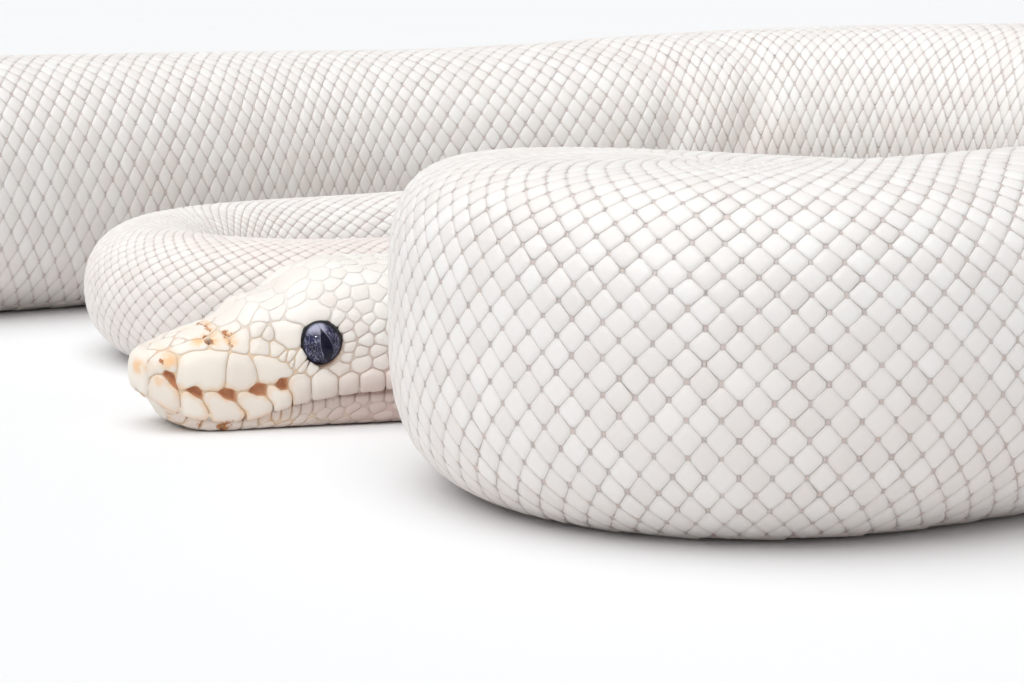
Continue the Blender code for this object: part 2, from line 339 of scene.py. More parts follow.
def look_up(table, place, around):
    """Blend a table of rings at any places and shares of the girth."""
    row = np.interp(place, PLACES, np.arange(len(PLACES)))
    column = ((around + 0.5) % 1.0) * AROUND
    r = np.minimum(row.astype(int), len(PLACES) - 2)
    c = np.minimum(column.astype(int), AROUND - 1)
    down, over = row - r, column - c
    if table.ndim == 3:
        down, over = down[..., None], over[..., None]
    near = table[r, c] * (1 - over) + table[r, c + 1] * over
    far = table[r + 1, c] * (1 - over) + table[r + 1, c + 1] * over
    return near * (1 - down) + far * down


def on_skin(place, around, lift, plain=False):
    """Points at a height above the skin, or above its plain shape without hollows."""
    rings, normals = (PLAIN_RINGS, PLAIN_NORMALS) if plain else (RINGS, NORMALS)
    points = look_up(rings, place, around) + look_up(normals, place, around) * lift[..., None]
    points[..., 2] = np.maximum(points[..., 2], 0.03)
    return points


# ---------------------------------------------------------------- finishes

def linear(colour):
    """Linear RGBA of an sRGB hex colour."""
    parts = [int(colour[at:at + 2], 16) / 255 for at in (1, 3, 5)]
    return tuple(p / 12.92 if p <= 0.04045 else ((p + 0.055) / 1.055) ** 2.4 for p in parts) + (1.0,)


def add(tree, kind, settings=None, inputs=None):
    """Add a node with its settings, and set or link its inputs."""
    node = tree.nodes.new(kind)
    for name, value in (settings or {}).items():
        setattr(node, name, value)
    for name, value in (inputs or {}).items():
        if isinstance(value, bpy.types.NodeSocket):
            tree.links.new(value, node.inputs[name])
        else:
            node.inputs[name].default_value = value
    return node


def value_of(tree, name):
    """A number stored on the mesh."""
    return add(tree, "ShaderNodeAttribute", {"attribute_name": name}).outputs["Fac"]


def mixed(tree, share, first, second, way="MIX"):
    """Blend of two colours."""
    settings = {"data_type": "RGBA", "blend_type": way}
    return add(tree, "ShaderNodeMix", settings, {0: share, 6: first, 7: second}).outputs[2]


def sums(tree, way, first, second=0.5, clamp=False):
    """Arithmetic on one or two values."""
    settings = {"operation": way, "use_clamp": clamp}
    return add(tree, "ShaderNodeMath", settings, {0: first, 1: second}).outputs[0]


def speckle(tree, size, detail=3.0, roughness=0.55, stretch=None):
    """Noise whose grains are about the given size in millimetres."""
    where = add(tree, "ShaderNodeTexCoord").outputs["Object"]
    if stretch:
        where = add(tree, "ShaderNodeMapping", None, {"Vector": where, "Scale": stretch}).outputs[0]
    settings = {"Vector": where, "Scale": 0.5 / (size * MM), "Detail": detail, "Roughness": roughness}
    return add(tree, "ShaderNodeTexNoise", None, settings).outputs["Fac"]


def ramped(tree, value, low, high):
    """0 below low, 1 above high."""
    settings = {"Value": value, "From Min": low, "From Max": high}
    return add(tree, "ShaderNodeMapRange", {"interpolation_type": "SMOOTHSTEP"}, settings).outputs[0]


def new_finish(name):
    """Empty material and its surface shader."""
    finish = bpy.data.materials.new(name)
    finish.use_nodes = True
    return finish, finish.node_tree, finish.node_tree.nodes["Principled BSDF"]


def scale_keratin(name, white, shade, warm):
    """Clear horn over unpigmented skin, as on a leucistic snake.

    Grown in thin plates with a satin face: white on the crown of each plate, a little
    darker and pinker towards its edge, with a faint warm cast that changes from plate to plate.
    """
    finish, tree, shader = new_finish(name)
    rim, tone = value_of(tree, "rim"), value_of(tree, "tone")
    blush, cream = value_of(tree, "blush"), value_of(tree, "cream")
    base = mixed(tree, cream, linear(white), linear(warm))
    base = mixed(tree, sums(tree, "MULTIPLY", blush, 0.8), base, linear("#EBD6CF"))
    base = mixed(tree, sums(tree, "MULTIPLY", tone, 0.35, True), base, linear(shade))
    cloudy = ramped(tree, speckle(tree, 2.6), 0.35, 0.75)
    base = mixed(tree, sums(tree, "MULTIPLY", cloudy, 0.16), base, linear(shade))
    base = mixed(tree, sums(tree, "MULTIPLY", ramped(tree, rim, 0.45, 1.0), 0.3), base, linear(shade))
    stain = sums(tree, "MULTIPLY", value_of(tree, "stain"), ramped(tree, speckle(tree, 1.1), 0.3, 0.62))
    base = mixed(tree, sums(tree, "MULTIPLY", stain, 0.85, True), base, linear("#F0BC7E"))
    crust = value_of(tree, "crust")
    grains, thicker = speckle(tree, 0.35, 4.0, 0.7), sums(tree, "MULTIPLY", crust, 0.42)
    flakes = ramped(tree, sums(tree, "ADD", grains, thicker), 0.74, 0.92)
    flakes = sums(tree, "MULTIPLY", flakes, ramped(tree, crust, 0.05, 0.3))
    base = mixed(tree, flakes, base, linear("#B0713C"))
    # painted shade: the shade values darken the jaw under the cheek and paint a shadow where the lips part
    base = mixed(tree, value_of(tree, "shade"), base, linear("#9C8175"))
    tree.links.new(base, shader.inputs["Base Color"])
    satin = add(tree, "ShaderNodeMapRange", None,
                {"Value": speckle(tree, 0.5), "To Min": 0.36, "To Max": 0.55}).outputs[0]
    tree.links.new(satin, shader.inputs["Roughness"])
    grain = speckle(tree, 0.12, 2.0)
    dents = speckle(tree, 0.9, 2.0)
    height = sums(tree, "ADD", sums(tree, "MULTIPLY", grain, 0.3), dents)
    bump = add(tree, "ShaderNodeBump", None, {"Strength": 0.25, "Distance": 0.00004, "Height": height})
    tree.links.new(bump.outputs[0], shader.inputs["Normal"])
    shader.inputs["Subsurface Weight"].default_value = 0.15
    shader.inputs["Subsurface Radius"].default_value = (1.0, 0.7, 0.6)
    shader.inputs["Subsurface Scale"].default_value = 0.0004
    shader.inputs["IOR"].default_value = 1.48
    return finish


def bare_skin():
    """Soft skin between the scales: thin, finely wrinkled, pinkish grey and matt.

    The heat pits are lined with the same skin, flushed terracotta. Painted shade darkens the
    nostril, the rim of the eye socket and the groove under the upper lip.
    """
    finish, tree, shader = new_finish("snake_skin_unpigmented")
    blush, cream = value_of(tree, "blush"), value_of(tree, "cream")
    mottle = ramped(tree, speckle(tree, 1.4), 0.3, 0.7)
    base = mixed(tree, mottle, linear("#DCCFCA"), linear("#CCBDB8"))
    base = mixed(tree, sums(tree, "MULTIPLY", blush, 0.7), base, linear("#D3B0A6"))
    base = mixed(tree, cream, base, linear("#EACDAA"))
    base = mixed(tree, value_of(tree, "pale"), base, linear("#F3EDE8"))
    lining = mixed(tree, ramped(tree, speckle(tree, 0.6), 0.3, 0.7), linear("#DDA582"), linear("#CB8F66"))
    base = mixed(tree, value_of(tree, "pit"), base, lining)
    # painted shade: dark brown in the nostril, round the rim of the eye socket and in the groove under the
    # upper lip
    base = mixed(tree, value_of(tree, "shade"), base, linear("#8A6656"))
    tree.links.new(base, shader.inputs["Base Color"])
    wrinkles = speckle(tree, 0.22, 3.0)
    bump = add(tree, "ShaderNodeBump", None, {"Strength": 0.5, "Distance": 0.00006, "Height": wrinkles})
    tree.links.new(bump.outputs[0], shader.inputs["Normal"])
    shader.inputs["Roughness"].default_value = 0.62
    shader.inputs["Subsurface Weight"].default_value = 0.2
    shader.inputs["Subsurface Radius"].default_value = (1.0, 0.4, 0.25)
    shader.inputs["Subsurface Scale"].default_value = 0.0008
    return finish


PUPIL_AHEAD = 0.22              # how far the slit lies ahead of the middle of the ball, in mm
PUPIL_LEAN = 0.25               # how far the slit leans forward for each mm upwards
IRIS_MIDDLE, IRIS_HALVES = (-0.46, 0.02, 0.0), (2.09, 2.43, 1.0)    # the ring inside the dark rim, in mm


def eye_under_spectacle():
    """Dark blue iris under the fixed clear scale that covers a snake's eye.

    The spectacle is smooth and wet-looking. The iris is indigo with clumps of silvery
    threads that run up and down, round a blue-black upright slit shaped like a leaf. A pale
    painted reflection lies over the upper part of the iris towards the snout.
    """
    finish, tree, shader = new_finish("snake_eye_spectacle")
    where = add(tree, "ShaderNodeUVMap", {"uv_map": "iris"}).outputs[0]
    parts = add(tree, "ShaderNodeSeparateXYZ", None, {0: where})
    along, up = parts.outputs[0], parts.outputs[1]
    threads = add(tree, "ShaderNodeMapping", None, {"Vector": where, "Scale": (2.6, 1.0, 1.0)}).outputs[0]
    fine = add(tree, "ShaderNodeTexNoise", None,
               {"Vector": threads, "Scale": 2.3, "Detail": 5.0, "Roughness": 0.72, "Distortion": 1.4})
    broad = add(tree, "ShaderNodeTexNoise", None, {"Vector": where, "Scale": 0.9, "Detail": 2.0})
    clumps = ramped(tree, broad.outputs["Fac"], 0.36, 0.6)
    base = mixed(tree, clumps, linear("#17162F"), linear("#303252"))
    silver = ramped(tree, fine.outputs["Fac"], 0.49, 0.68)
    silver = sums(tree, "MULTIPLY", silver, sums(tree, "ADD", sums(tree, "MULTIPLY", clumps, 0.6), 0.36))
    base = mixed(tree, silver, base, linear("#B9B9CC"))
    # painted reflection: pale band of light over the upper part of the iris towards the snout
    behind = ramped(tree, sums(tree, "MULTIPLY", along, -1.0), -0.25, 0.5)
    painted_reflection = sums(tree, "MULTIPLY", ramped(tree, up, 1.0, 1.9), behind)
    base = mixed(tree, sums(tree, "MULTIPLY", painted_reflection, 0.75), base, linear("#B9BAD2"))
    lean = add(tree, "ShaderNodeMath", {"operation": "MULTIPLY_ADD"},
               {0: up, 1: PUPIL_LEAN, 2: PUPIL_AHEAD}).outputs[0]
    off_axis = sums(tree, "ABSOLUTE", sums(tree, "ADD", along, lean))
    height = sums(tree, "DIVIDE", sums(tree, "ADD", up, 0.15), 2.15)
    room = sums(tree, "SUBTRACT", 1.0, sums(tree, "MULTIPLY", height, height), True)
    fuller = sums(tree, "SUBTRACT", 0.72, sums(tree, "MULTIPLY", height, 0.2))
    slit = sums(tree, "SUBTRACT", sums(tree, "MULTIPLY", room, fuller), off_axis)
    halo = sums(tree, "MULTIPLY", ramped(tree, slit, -0.2, -0.04), ramped(tree, up, -1.2, 1.2))
    base = mixed(tree, sums(tree, "MULTIPLY", halo, 0.45), base, linear("#8A8F98"))
    base = mixed(tree, ramped(tree, slit, -0.03, 0.05), base, linear("#0B0A26"))
    inner = add(tree, "ShaderNodeMapping", {"vector_type": "TEXTURE"},
                {"Vector": where, "Location": IRIS_MIDDLE, "Scale": IRIS_HALVES}).outputs[0]
    reach = add(tree, "ShaderNodeVectorMath", {"operation": "LENGTH"}, {0: inner}).outputs["Value"]
    base = mixed(tree, ramped(tree, reach, 0.96, 1.06), base, linear("#0A0A14"))
    tree.links.new(base, shader.inputs["Base Color"])
    shader.inputs["Roughness"].default_value = 0.32
    shader.inputs["IOR"].default_value = 1.12
    shader.inputs["Coat Weight"].default_value = 0.7
    shader.inputs["Coat Roughness"].default_value = 0.03
    shader.inputs["Coat IOR"].default_value = 1.36
    return finish


BODY_HORN = scale_keratin("body_scale_keratin", "#F6F4F1", "#DDD3CF", "#F3EADF")
HEAD_HORN = scale_keratin("head_scale_keratin", "#F6F3EF", "#E0D2C8", "#F6EDE1")
BELLY_HORN = scale_keratin("belly_scute_keratin", "#F3EEE8", "#DACBC2", "#F1E6DA")
SKIN = bare_skin()
EYE = eye_under_spectacle()


# ---------------------------------------------------------------- meshes

def make_piece(name, points, loops, sizes, finish, corners=None, values=None):
    """Mesh object from flat arrays: points in mm, corner indices and corners per face."""
    mesh = bpy.data.meshes.new(name)
    mesh.vertices.add(len(points))
    mesh.vertices.foreach_set("co", (points * MM).astype(np.float32).ravel())
    mesh.loops.add(len(loops))
    mesh.loops.foreach_set("vertex_index", loops.astype(np.int32))
    mesh.polygons.add(len(sizes))
    starts = np.concatenate([[0], np.cumsum(sizes)[:-1]]).astype(np.int32)
    mesh.polygons.foreach_set("loop_start", starts)
    mesh.polygons.foreach_set("loop_total", sizes.astype(np.int32))
    mesh.polygons.foreach_set("use_smooth", np.ones(len(sizes), bool))
    for key, (layer, places) in (corners or {}).items():
        mesh.uv_layers.new(name=key).data.foreach_set("uv", places[layer].astype(np.float32).ravel())
    mesh.update(calc_edges=True)
    for key, numbers in (values or {}).items():
        stored = mesh.attributes.new(key, "FLOAT", "POINT")
        stored.data.foreach_set("value", np.asarray(numbers, np.float32))
    mesh.validate()
    mesh.materials.append(finish)
    piece = bpy.data.objects.new(name, mesh)
    bpy.context.scene.collection.objects.link(piece)
    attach(piece, "root")
    return piece


def repeated(faces, count, step):
    """Corner indices and face sizes of a pattern of faces, once for each of count copies."""
    pattern = np.concatenate([np.asarray(face) for face in faces])
    loops = (pattern[None, :] + (np.arange(count) * step)[:, None]).ravel()
    return loops, np.tile([len(face) for face in faces], count)


def ringed_faces(sides, rings):
    """Faces of a closed cap: rings from the edge inwards, then one point, then the underside."""
    faces = []
    for ring in range(rings - 1):
        for side in range(sides):
            after = (side + 1) % sides
            low, high = ring * sides, (ring + 1) * sides
            faces.append((low + side, low + after, high + after, high + side))
    inner, centre = (rings - 1) * sides, rings * sides
    for side in range(sides):
        faces.append((inner + side, inner + (side + 1) % sides, centre))
    faces.append(tuple(range(sides))[::-1])
    return faces


# ---------------------------------------------------------------- markings shared by skin and scales

STAINS = ((0.0, 7.9, 0.9), (2.6, 9.0, 1.1), (1.4, 6.6, 0.6), (8.6, 12.3, 0.6), (6.6, 10.9, 0.9),
          (8.0, 11.2, 0.9), (10.0, 11.2, 0.8))
CRUSTS = ((7.6, 11.0, 0.75), (9.9, 11.6, 0.65), (9.85, 10.5, 0.4), (8.9, 0.7, 1.15), (3.2, 2.4, 0.3),
          (5.9, 1.0, 0.45), (8.3, 12.2, 0.4), (1.8, 8.9, 0.4), (24.0, 13.9, 0.35))
ROSY_NECK = (150.0, 300.0)


def markings(place, around, height):
    """Cream of the lips, blush of the neck and flanks, and the stains round the mouth and nose."""
    left = around < 0.02
    cream = (1 - ease(place, 12, 30)) * (1 - 0.55 * ease(height, 9, 14)) * 0.85
    cheek = ease(place, 16, 30) * (1 - ease(place, 44, 60)) * (1 - ease(height, 5, 12)) * 0.8
    neck = ease(place, 80, ROSY_NECK[0]) * (1 - ease(place, *ROSY_NECK)) * 0.55
    flank = ease(place, 300, 420) * ease(np.abs(around), 0.16, 0.42) * 0.35
    patches = np.sin(place / 23 + 3 * np.sin(around * 7)) * np.sin(place / 9 + around * 19)
    blush = np.clip(cheek + neck + flank + 0.12 * patches * ease(place, 60, 90), 0, 1)
    stain, crust = np.zeros_like(place), np.zeros_like(place)
    for amount, spots in ((stain, STAINS), (crust, CRUSTS)):
        for along, up, reach in spots:
            away = ((place - along) ** 2 + (height - up) ** 2) / reach ** 2
            amount += np.exp(-away ** 1.5) * left * (place < HEAD_LENGTH)
    return {"cream": cream, "blush": blush, "stain": np.clip(stain, 0, 1), "crust": np.clip(crust, 0, 1)}


# ---------------------------------------------------------------- head outlines

LABIALS = (
    ((0.4, 6.7), (1.6, 7.2), (2.5, 6.1), (3.3, 5.2), (3.45, 4.9), (3.7, 2.1), (2.8, 2.7), (1.6, 3.5),
     (0.6, 4.2), (0.4, 5.6)),
    ((3.5, 4.85), (4.2, 5.3), (4.6, 5.0), (5.3, 4.5), (6.05, 4.05), (6.5, 3.4), (6.9, 2.6), (7.05, 1.6),
     (5.7, 1.8), (4.6, 2.1), (3.8, 2.4), (3.6, 3.4)),
    ((6.15, 5.1), (7.0, 5.2), (7.9, 4.95), (8.05, 4.65), (8.6, 4.15), (9.3, 3.85), (10.05, 3.6),
     (10.6, 3.0), (11.15, 2.5), (11.25, 1.8), (10.2, 1.45), (9.0, 1.35), (7.9, 1.45), (7.15, 1.6),
     (6.95, 2.5), (6.55, 3.4), (6.15, 4.0)),
    ((10.15, 4.9), (10.8, 5.1), (11.45, 5.0), (11.8, 4.55), (12.6, 4.3), (13.6, 4.2), (14.1, 3.7),
     (14.4, 3.2), (14.45, 2.4), (13.4, 1.9), (12.3, 1.6), (11.4, 1.5), (11.25, 2.4), (10.75, 3.1),
     (10.15, 3.6)),
    ((13.8, 5.6), (14.3, 5.75), (14.8, 5.5), (15.3, 5.0), (16.2, 5.0), (16.6, 4.6), (16.75, 4.0),
     (16.75, 3.1), (15.7, 2.7), (14.6, 2.45), (14.5, 3.3), (14.2, 3.8), (13.75, 4.2)),
    ((16.3, 5.2), (16.25, 6.1), (16.9, 6.7), (17.7, 6.9), (18.6, 6.7), (19.05, 6.3), (19.05, 3.5),
     (17.9, 3.3), (16.85, 3.15), (16.85, 4.1), (16.7, 4.7)),
    ((19.1, 6.35), (19.8, 6.9), (20.6, 7.45), (21.2, 7.1), (21.8, 6.7), (22.3, 6.0), (22.25, 4.1),
     (20.8, 3.75), (19.1, 3.55)),
    ((22.4, 6.05), (23.0, 6.5), (23.7, 6.8), (24.4, 6.65), (24.85, 6.35), (24.85, 4.35), (23.6, 4.2),
     (22.35, 4.1)),
    ((24.95, 6.4), (25.8, 6.9), (26.7, 7.2), (27.4, 6.8), (27.95, 6.4), (28.0, 4.55), (26.5, 4.4),
     (24.95, 4.35)),
)
REAR_LABIALS = (28.1, 31.1, 34.0, 36.8, 39.4)
BIG_SHIELDS = (
    ((3.7, 9.3), (5.2, 9.85), (7.0, 9.95), (9.6, 9.8), (9.1, 8.7), (8.85, 7.4), (8.75, 5.9), (8.3, 5.5),
     (7.9, 5.2), (7.0, 5.35), (6.15, 5.3), (5.7, 5.95), (5.0, 6.05), (4.2, 5.55), (3.5, 5.3), (3.3, 6.8)),
    ((9.75, 9.8), (11.7, 9.4), (12.3, 8.3), (12.55, 7.2), (12.75, 6.05), (12.1, 5.85), (11.6, 5.35),
     (10.8, 5.25), (10.1, 5.05), (9.9, 5.4), (9.3, 5.55), (8.85, 5.75), (8.95, 7.4), (9.2, 8.7)),
    ((11.9, 9.3), (13.2, 9.0), (14.9, 8.6), (16.0, 7.9), (17.0, 6.95), (16.3, 6.5), (15.7, 6.65),
     (15.2, 6.45), (14.8, 5.9), (14.3, 5.9), (13.7, 6.0), (12.85, 6.1), (12.65, 7.3), (12.4, 8.3)),
    ((0.4, 8.6), (1.2, 9.4), (2.6, 9.8), (3.5, 9.4), (3.3, 8.2), (3.1, 7.2), (2.5, 7.75), (1.9, 7.95),
     (1.6, 7.4), (0.4, 6.9)),
)
NOSE_SHIELDS = (
    ((2.8, 9.9), (4.0, 10.5), (5.4, 11.0), (6.8, 11.3), (7.25, 11.0), (7.1, 10.5), (7.0, 10.05),
     (5.2, 9.95), (3.9, 9.5)),
    ((7.9, 10.05), (8.2, 11.1), (8.3, 11.7), (9.1, 12.0), (9.9, 11.8), (9.9, 11.0), (9.7, 9.95)),
    ((10.0, 11.8), (11.0, 12.1), (12.0, 11.7), (11.9, 10.6), (11.75, 9.5), (9.9, 9.9), (10.0, 11.0)),
    ((12.05, 11.1), (13.3, 11.3), (14.35, 10.8), (14.25, 9.3), (12.0, 9.45)),
    ((14.45, 10.8), (15.2, 11.0), (16.15, 10.2), (15.7, 9.3), (14.4, 9.25)),
)
BROW_SHIELDS = (
    ((16.9, 13.9), (17.7, 14.5), (18.8, 14.95), (20.3, 15.1), (21.5, 14.8), (22.0, 14.2), (21.9, 13.5),
     (20.9, 13.45), (19.7, 13.25), (18.5, 12.85), (17.2, 13.1)),
    ((15.3, 12.9), (17.0, 13.05), (18.3, 12.7), (17.9, 11.6), (17.8, 10.4), (17.3, 9.9), (16.3, 10.3),
     (15.3, 10.9), (15.1, 11.8)),
    ((21.3, 7.9), (22.3, 8.25), (23.4, 7.7), (23.5, 6.95), (22.4, 6.55), (21.5, 7.1)),
)
PITS = (
    ((1.65, 7.25), (1.9, 7.9), (2.45, 7.7), (2.9, 7.2), (3.05, 6.3), (3.35, 5.3), (2.6, 6.0)),
    ((4.2, 5.5), (5.0, 5.95), (5.6, 5.85), (6.05, 5.2), (6.1, 4.15), (5.3, 4.6), (4.6, 5.1)),
    ((8.0, 5.1), (8.6, 5.5), (9.3, 5.45), (9.95, 5.2), (10.05, 3.75), (9.3, 4.0), (8.6, 4.3), (8.05, 4.8)),
    ((11.55, 5.05), (12.1, 5.75), (12.8, 5.95), (13.6, 5.85), (13.7, 5.2), (13.65, 4.35), (12.6, 4.4),
     (11.8, 4.7)),
    ((14.75, 5.6), (15.25, 6.5), (15.75, 6.7), (16.2, 6.3), (16.25, 5.1), (15.3, 5.0)),
)
NOSTRIL = (7.6, 11.0, 0.32, 0.5)
FACE_SEEDS = (                  # along, up, radius of the small shields given one by one
    (15.9, 9.1, 0.45), (16.75, 9.3, 0.5), (17.7, 8.6, 0.7), (17.0, 8.2, 0.35), (19.3, 7.4, 0.7),
    (18.0, 7.45, 0.4), (22.8, 13.65, 0.75), (23.75, 12.5, 0.7), (23.85, 11.2, 0.7), (23.7, 9.9, 0.7),
    (23.4, 8.8, 0.6), (22.1, 15.5, 0.85), (23.8, 14.9, 0.8), (23.9, 16.3, 0.85), (26.0, 16.2, 0.95),
    (26.1, 14.6, 0.9), (24.8, 13.7, 0.75), (26.4, 13.2, 0.75), (25.4, 12.1, 0.85), (27.3, 12.2, 0.85),
    (26.0, 10.7, 0.85), (27.7, 10.9, 0.85), (25.3, 9.3, 0.8), (27.1, 9.4, 0.8), (25.3, 7.9, 1.05),
    (27.5, 8.0, 0.85), (13.3, 12.5, 0.9), (14.2, 13.9, 1.1), (16.0, 14.1, 0.9), (18.6, 15.8, 1.1),
)
CROWN_SEEDS = (                 # along, across the crown, radius
    (2.6, 1.5, 1.4), (4.6, 3.2, 1.0), (6.9, 2.3, 2.2), (11.4, 1.9, 1.9), (10.3, 4.9, 1.2), (12.9, 4.4, 1.4),
    (15.2, 2.1, 1.6), (15.9, 4.9, 1.2), (19.1, 2.4, 2.1), (19.0, 5.6, 1.3), (22.9, 1.8, 1.4),
    (22.4, 4.8, 1.2), (26.0, 1.4, 1.2),
)
ROSTRAL = ((0.0, 10.1), (1.7, 9.9), (2.9, 9.2), (3.4, 7.4), (3.4, 5.7), (2.8, 4.3), (1.4, 4.7),
           (0.0, 5.1))
MENTAL = ((0.0, 4.0), (1.6, 3.8), (2.8, 3.2), (2.7, 1.9), (1.6, 0.9), (0.0, 0.7))
INFRALABIALS = (2.7, 4.3, 6.1, 8.65, 11.0, 12.85, 14.4, 15.55, 16.85, 17.95, 19.4, 20.9, 22.6, 24.4,
                26.2, 28.0, 29.7, 31.4, 33.1, 34.8, 36.5, 38.2, 40.0)
GROOVE = 0.035                  # half the width of the groove between two shields


def girth_at(place):
    """Length round the skin at a place."""
    return np.interp(place, PLACES, GIRTHS)


def side_run(along, up):
    """Distance round the head, from the middle of the crown, to a height on its side."""
    shares = np.linspace(0.0, 0.5, 400)
    heights = look_up(PLAIN_RINGS, np.full(400, along), shares)[:, 2]
    return float(np.interp(-up, -heights, shares)) * float(girth_at(along))


def on_side(outline):
    """Outline given by along and up, as along and run round the head."""
    return np.array([(along, side_run(along, up)) for along, up in outline])


def inside(points, outline):
    """Distance inside an outline; below zero outside it."""
    nearest = np.full(points.shape[:-1], 1e9)
    crossings = np.zeros(points.shape[:-1], bool)
    for first, second in zip(outline, np.roll(outline, -1, axis=0)):
        edge = second - first
        share = ((points - first) @ edge / max(edge @ edge, 1e-12)).clip(0, 1)
        nearest = np.minimum(nearest, np.linalg.norm(points - first - share[..., None] * edge, axis=-1))
        spans = (first[1] > points[..., 1]) != (second[1] > points[..., 1])
        with np.errstate(divide="ignore", invalid="ignore"):
            meet = first[0] + (points[..., 1] - first[1]) / (second[1] - first[1]) * edge[0]
        crossings ^= spans & (points[..., 0] < meet)
    return np.where(crossings, nearest, -nearest)


def rear_labials():
    """Plain upper lip shields from below the temple to the corner of the mouth."""
    outlines = []
    for start, end in zip(REAR_LABIALS, REAR_LABIALS[1:]):
        low_start, low_end = mouth_height(start), mouth_height(end)
        tall = 2.3 - 0.05 * (start - 28)
        outlines.append(((start, low_start + tall - 0.3), ((start + end) / 2, low_start + tall + 0.4),
                         (end, low_end + tall - 0.3), (end, low_end), (start, low_start)))
    return outlines


LIP_TUCK = 0.15                 # how far the lower lip shields go up behind the upper lip


def lower_lip():
    """Lower lip shields, whose upper edges lie behind the upper lip."""
    outlines = []
    for start, end in zip(INFRALABIALS, INFRALABIALS[1:]):
        gap = 0.03
        tall = 2.2 if start < 12 else 1.75 - 0.4 * float(ease(start, 19, 24))
        tops = [side_run(at, mouth_height(at) + LIP_TUCK) for at in (start, end)]
        corners = [(start + gap, tops[0]), (start + gap, tops[0] + tall),
                   ((start + end) / 2, max(tops) + tall + 0.25), (end - gap, tops[1] + tall),
                   (end - gap, tops[1])]
        outlines.append(np.array(corners))
    return outlines


def face_outlines():
    """Every outline drawn on one side of the head, with its kind."""
    outlines = [(on_side(outline), "lip") for outline in LABIALS]
    outlines += [(on_side(outline), "lip") for outline in rear_labials()]
    outlines += [(on_side(outline), "shield") for outline in BIG_SHIELDS]
    outlines += [(on_side(outline), "nose") for outline in NOSE_SHIELDS]
    outlines += [(on_side(outline), "brow") for outline in BROW_SHIELDS]
    outlines += [(outline, "jaw") for outline in lower_lip()]
    return outlines


FRONT_EDGE = 0.12               # nothing but the rostral and mental shields lies ahead of this


def openings():
    """Pits, eye, nostril and the very front, as outlines that these shields keep off."""
    turns = np.linspace(0, 2 * pi, 24, endpoint=False)
    wide, tall = EYE_OPENING
    ring = [(EYE_PLACE - 0.15 + wide * cos(t), EYE_HEIGHT - 0.2 + tall * sin(t)) for t in turns]
    along, up, wide, tall = NOSTRIL
    nostril = [(along + wide * cos(t), up + tall * sin(t)) for t in turns[::3]]
    front = np.array([(-2.0, -60.0), (FRONT_EDGE, -60.0), (FRONT_EDGE, 60.0), (-2.0, 60.0)])
    return [on_side(outline) for outline in (*PITS, ring, nostril)] + [front]


def mirrored(outline):
    """The same outline on the other side, turned so that its face still points outwards."""
    return (outline * np.array([1.0, -1.0]))[::-1]


# ---------------------------------------------------------------- shields that grow until they meet

FILL_START, FILL_END = 0.6, 64.5
LIP_GROWTH, DRAWN_GROWTH, SEED_GROWTH = 0.12, 0.5, 0.75     # how far each kind may outgrow its first size
LIP_MARK, DRAWN_MARK = -1.0, 0.0    # stand in for the radius of a shield that has an outline
CROWN_SHIELD_RADIUS = 1.05      # seeds larger than this make shields, not small scales
STREWN_TRIES = 26000
LEAST_SHIELD = 0.4              # shields narrower than this are left out
CHEEK_LINE = 4.5                # below this height the small scales are ovals that lie along the jaw
CHEEK_OVAL = np.array([(1.35 * cos(turn), 0.72 * sin(turn)) for turn in np.linspace(0, 2 * pi, 13)[:-1]])


def beyond(points, shield):
    """How far points lie outside a shield's outline or, where it has none, its circle."""
    centre, radius, outline = shield
    if outline is None:
        return np.hypot(points[..., 0] - centre[0], points[..., 1] - centre[1]) - radius
    return -inside(points, outline)


def span(shield):
    """Furthest that a shield reaches from its centre before it grows."""
    centre, radius, outline = shield
    return radius if outline is None else np.hypot(*(outline - centre).T).max()


def grown(index, shields, spans, blocked, groove, rays=52, step=0.12):
    """Outline that a shield reaches among its neighbours, seen from its centre."""
    centre, radius, outline = shields[index]
    limit = LIP_GROWTH if radius == LIP_MARK else SEED_GROWTH if outline is None else DRAWN_GROWTH
    longest = span(shields[index]) + limit
    turns = np.linspace(0, 2 * pi, rays, endpoint=False)
    ways = np.stack([np.cos(turns), np.sin(turns)], axis=1)
    reaches = np.arange(0, longest + step, step)
    points = centre + reaches[:, None, None] * ways
    own = beyond(points, shields[index])
    room = limit - own
    for other in range(len(shields)):
        if other == index:
            continue
        apart = hypot(*(shields[other][0] - centre))
        if apart < longest + spans[other] + SEED_GROWTH:
            room = np.minimum(room, (beyond(points, shields[other]) - own) / 2 - groove)
    for opening in blocked:
        low, high = opening.min(axis=0) - longest, opening.max(axis=0) + longest
        if np.all(centre > low) and np.all(centre < high):
            room = np.minimum(room, -inside(points, opening))
    stop = np.argmax(np.vstack([room[1:] <= 0, np.ones((1, rays), bool)]), axis=0)
    stop = np.minimum(stop, len(reaches) - 2)
    here = np.maximum(room[stop, np.arange(rays)], 0)
    after = np.minimum(room[stop + 1, np.arange(rays)], -1e-6)
    lengths = (stop + here / (here - after)) * step
    lengths = 0.6 * lengths + 0.2 * (np.roll(lengths, 1) + np.roll(lengths, -1))
    return centre + lengths[:, None] * ways


def fill_radius(along, run):
    """Size of the small scales: bigger on the crown and cheek, smaller towards the neck."""
    share = abs(run) / girth_at(along)
    radius = 0.78 - 0.14 * ease(along, 34, 56)
    radius = radius + 0.12 * (1 - ease(along, 26, 40)) * (1 - ease(share, 0.1, 0.2))
    return radius + 0.1 * ease(share, 0.3, 0.4)


def deepest(outline):
    """Point furthest inside an outline."""
    low, high = outline.min(axis=0), outline.max(axis=0)
    grid = np.stack(np.meshgrid(*np.linspace(low, high, 24).T), axis=-1).reshape(-1, 2)
    return grid[np.argmax(inside(grid, outline))]


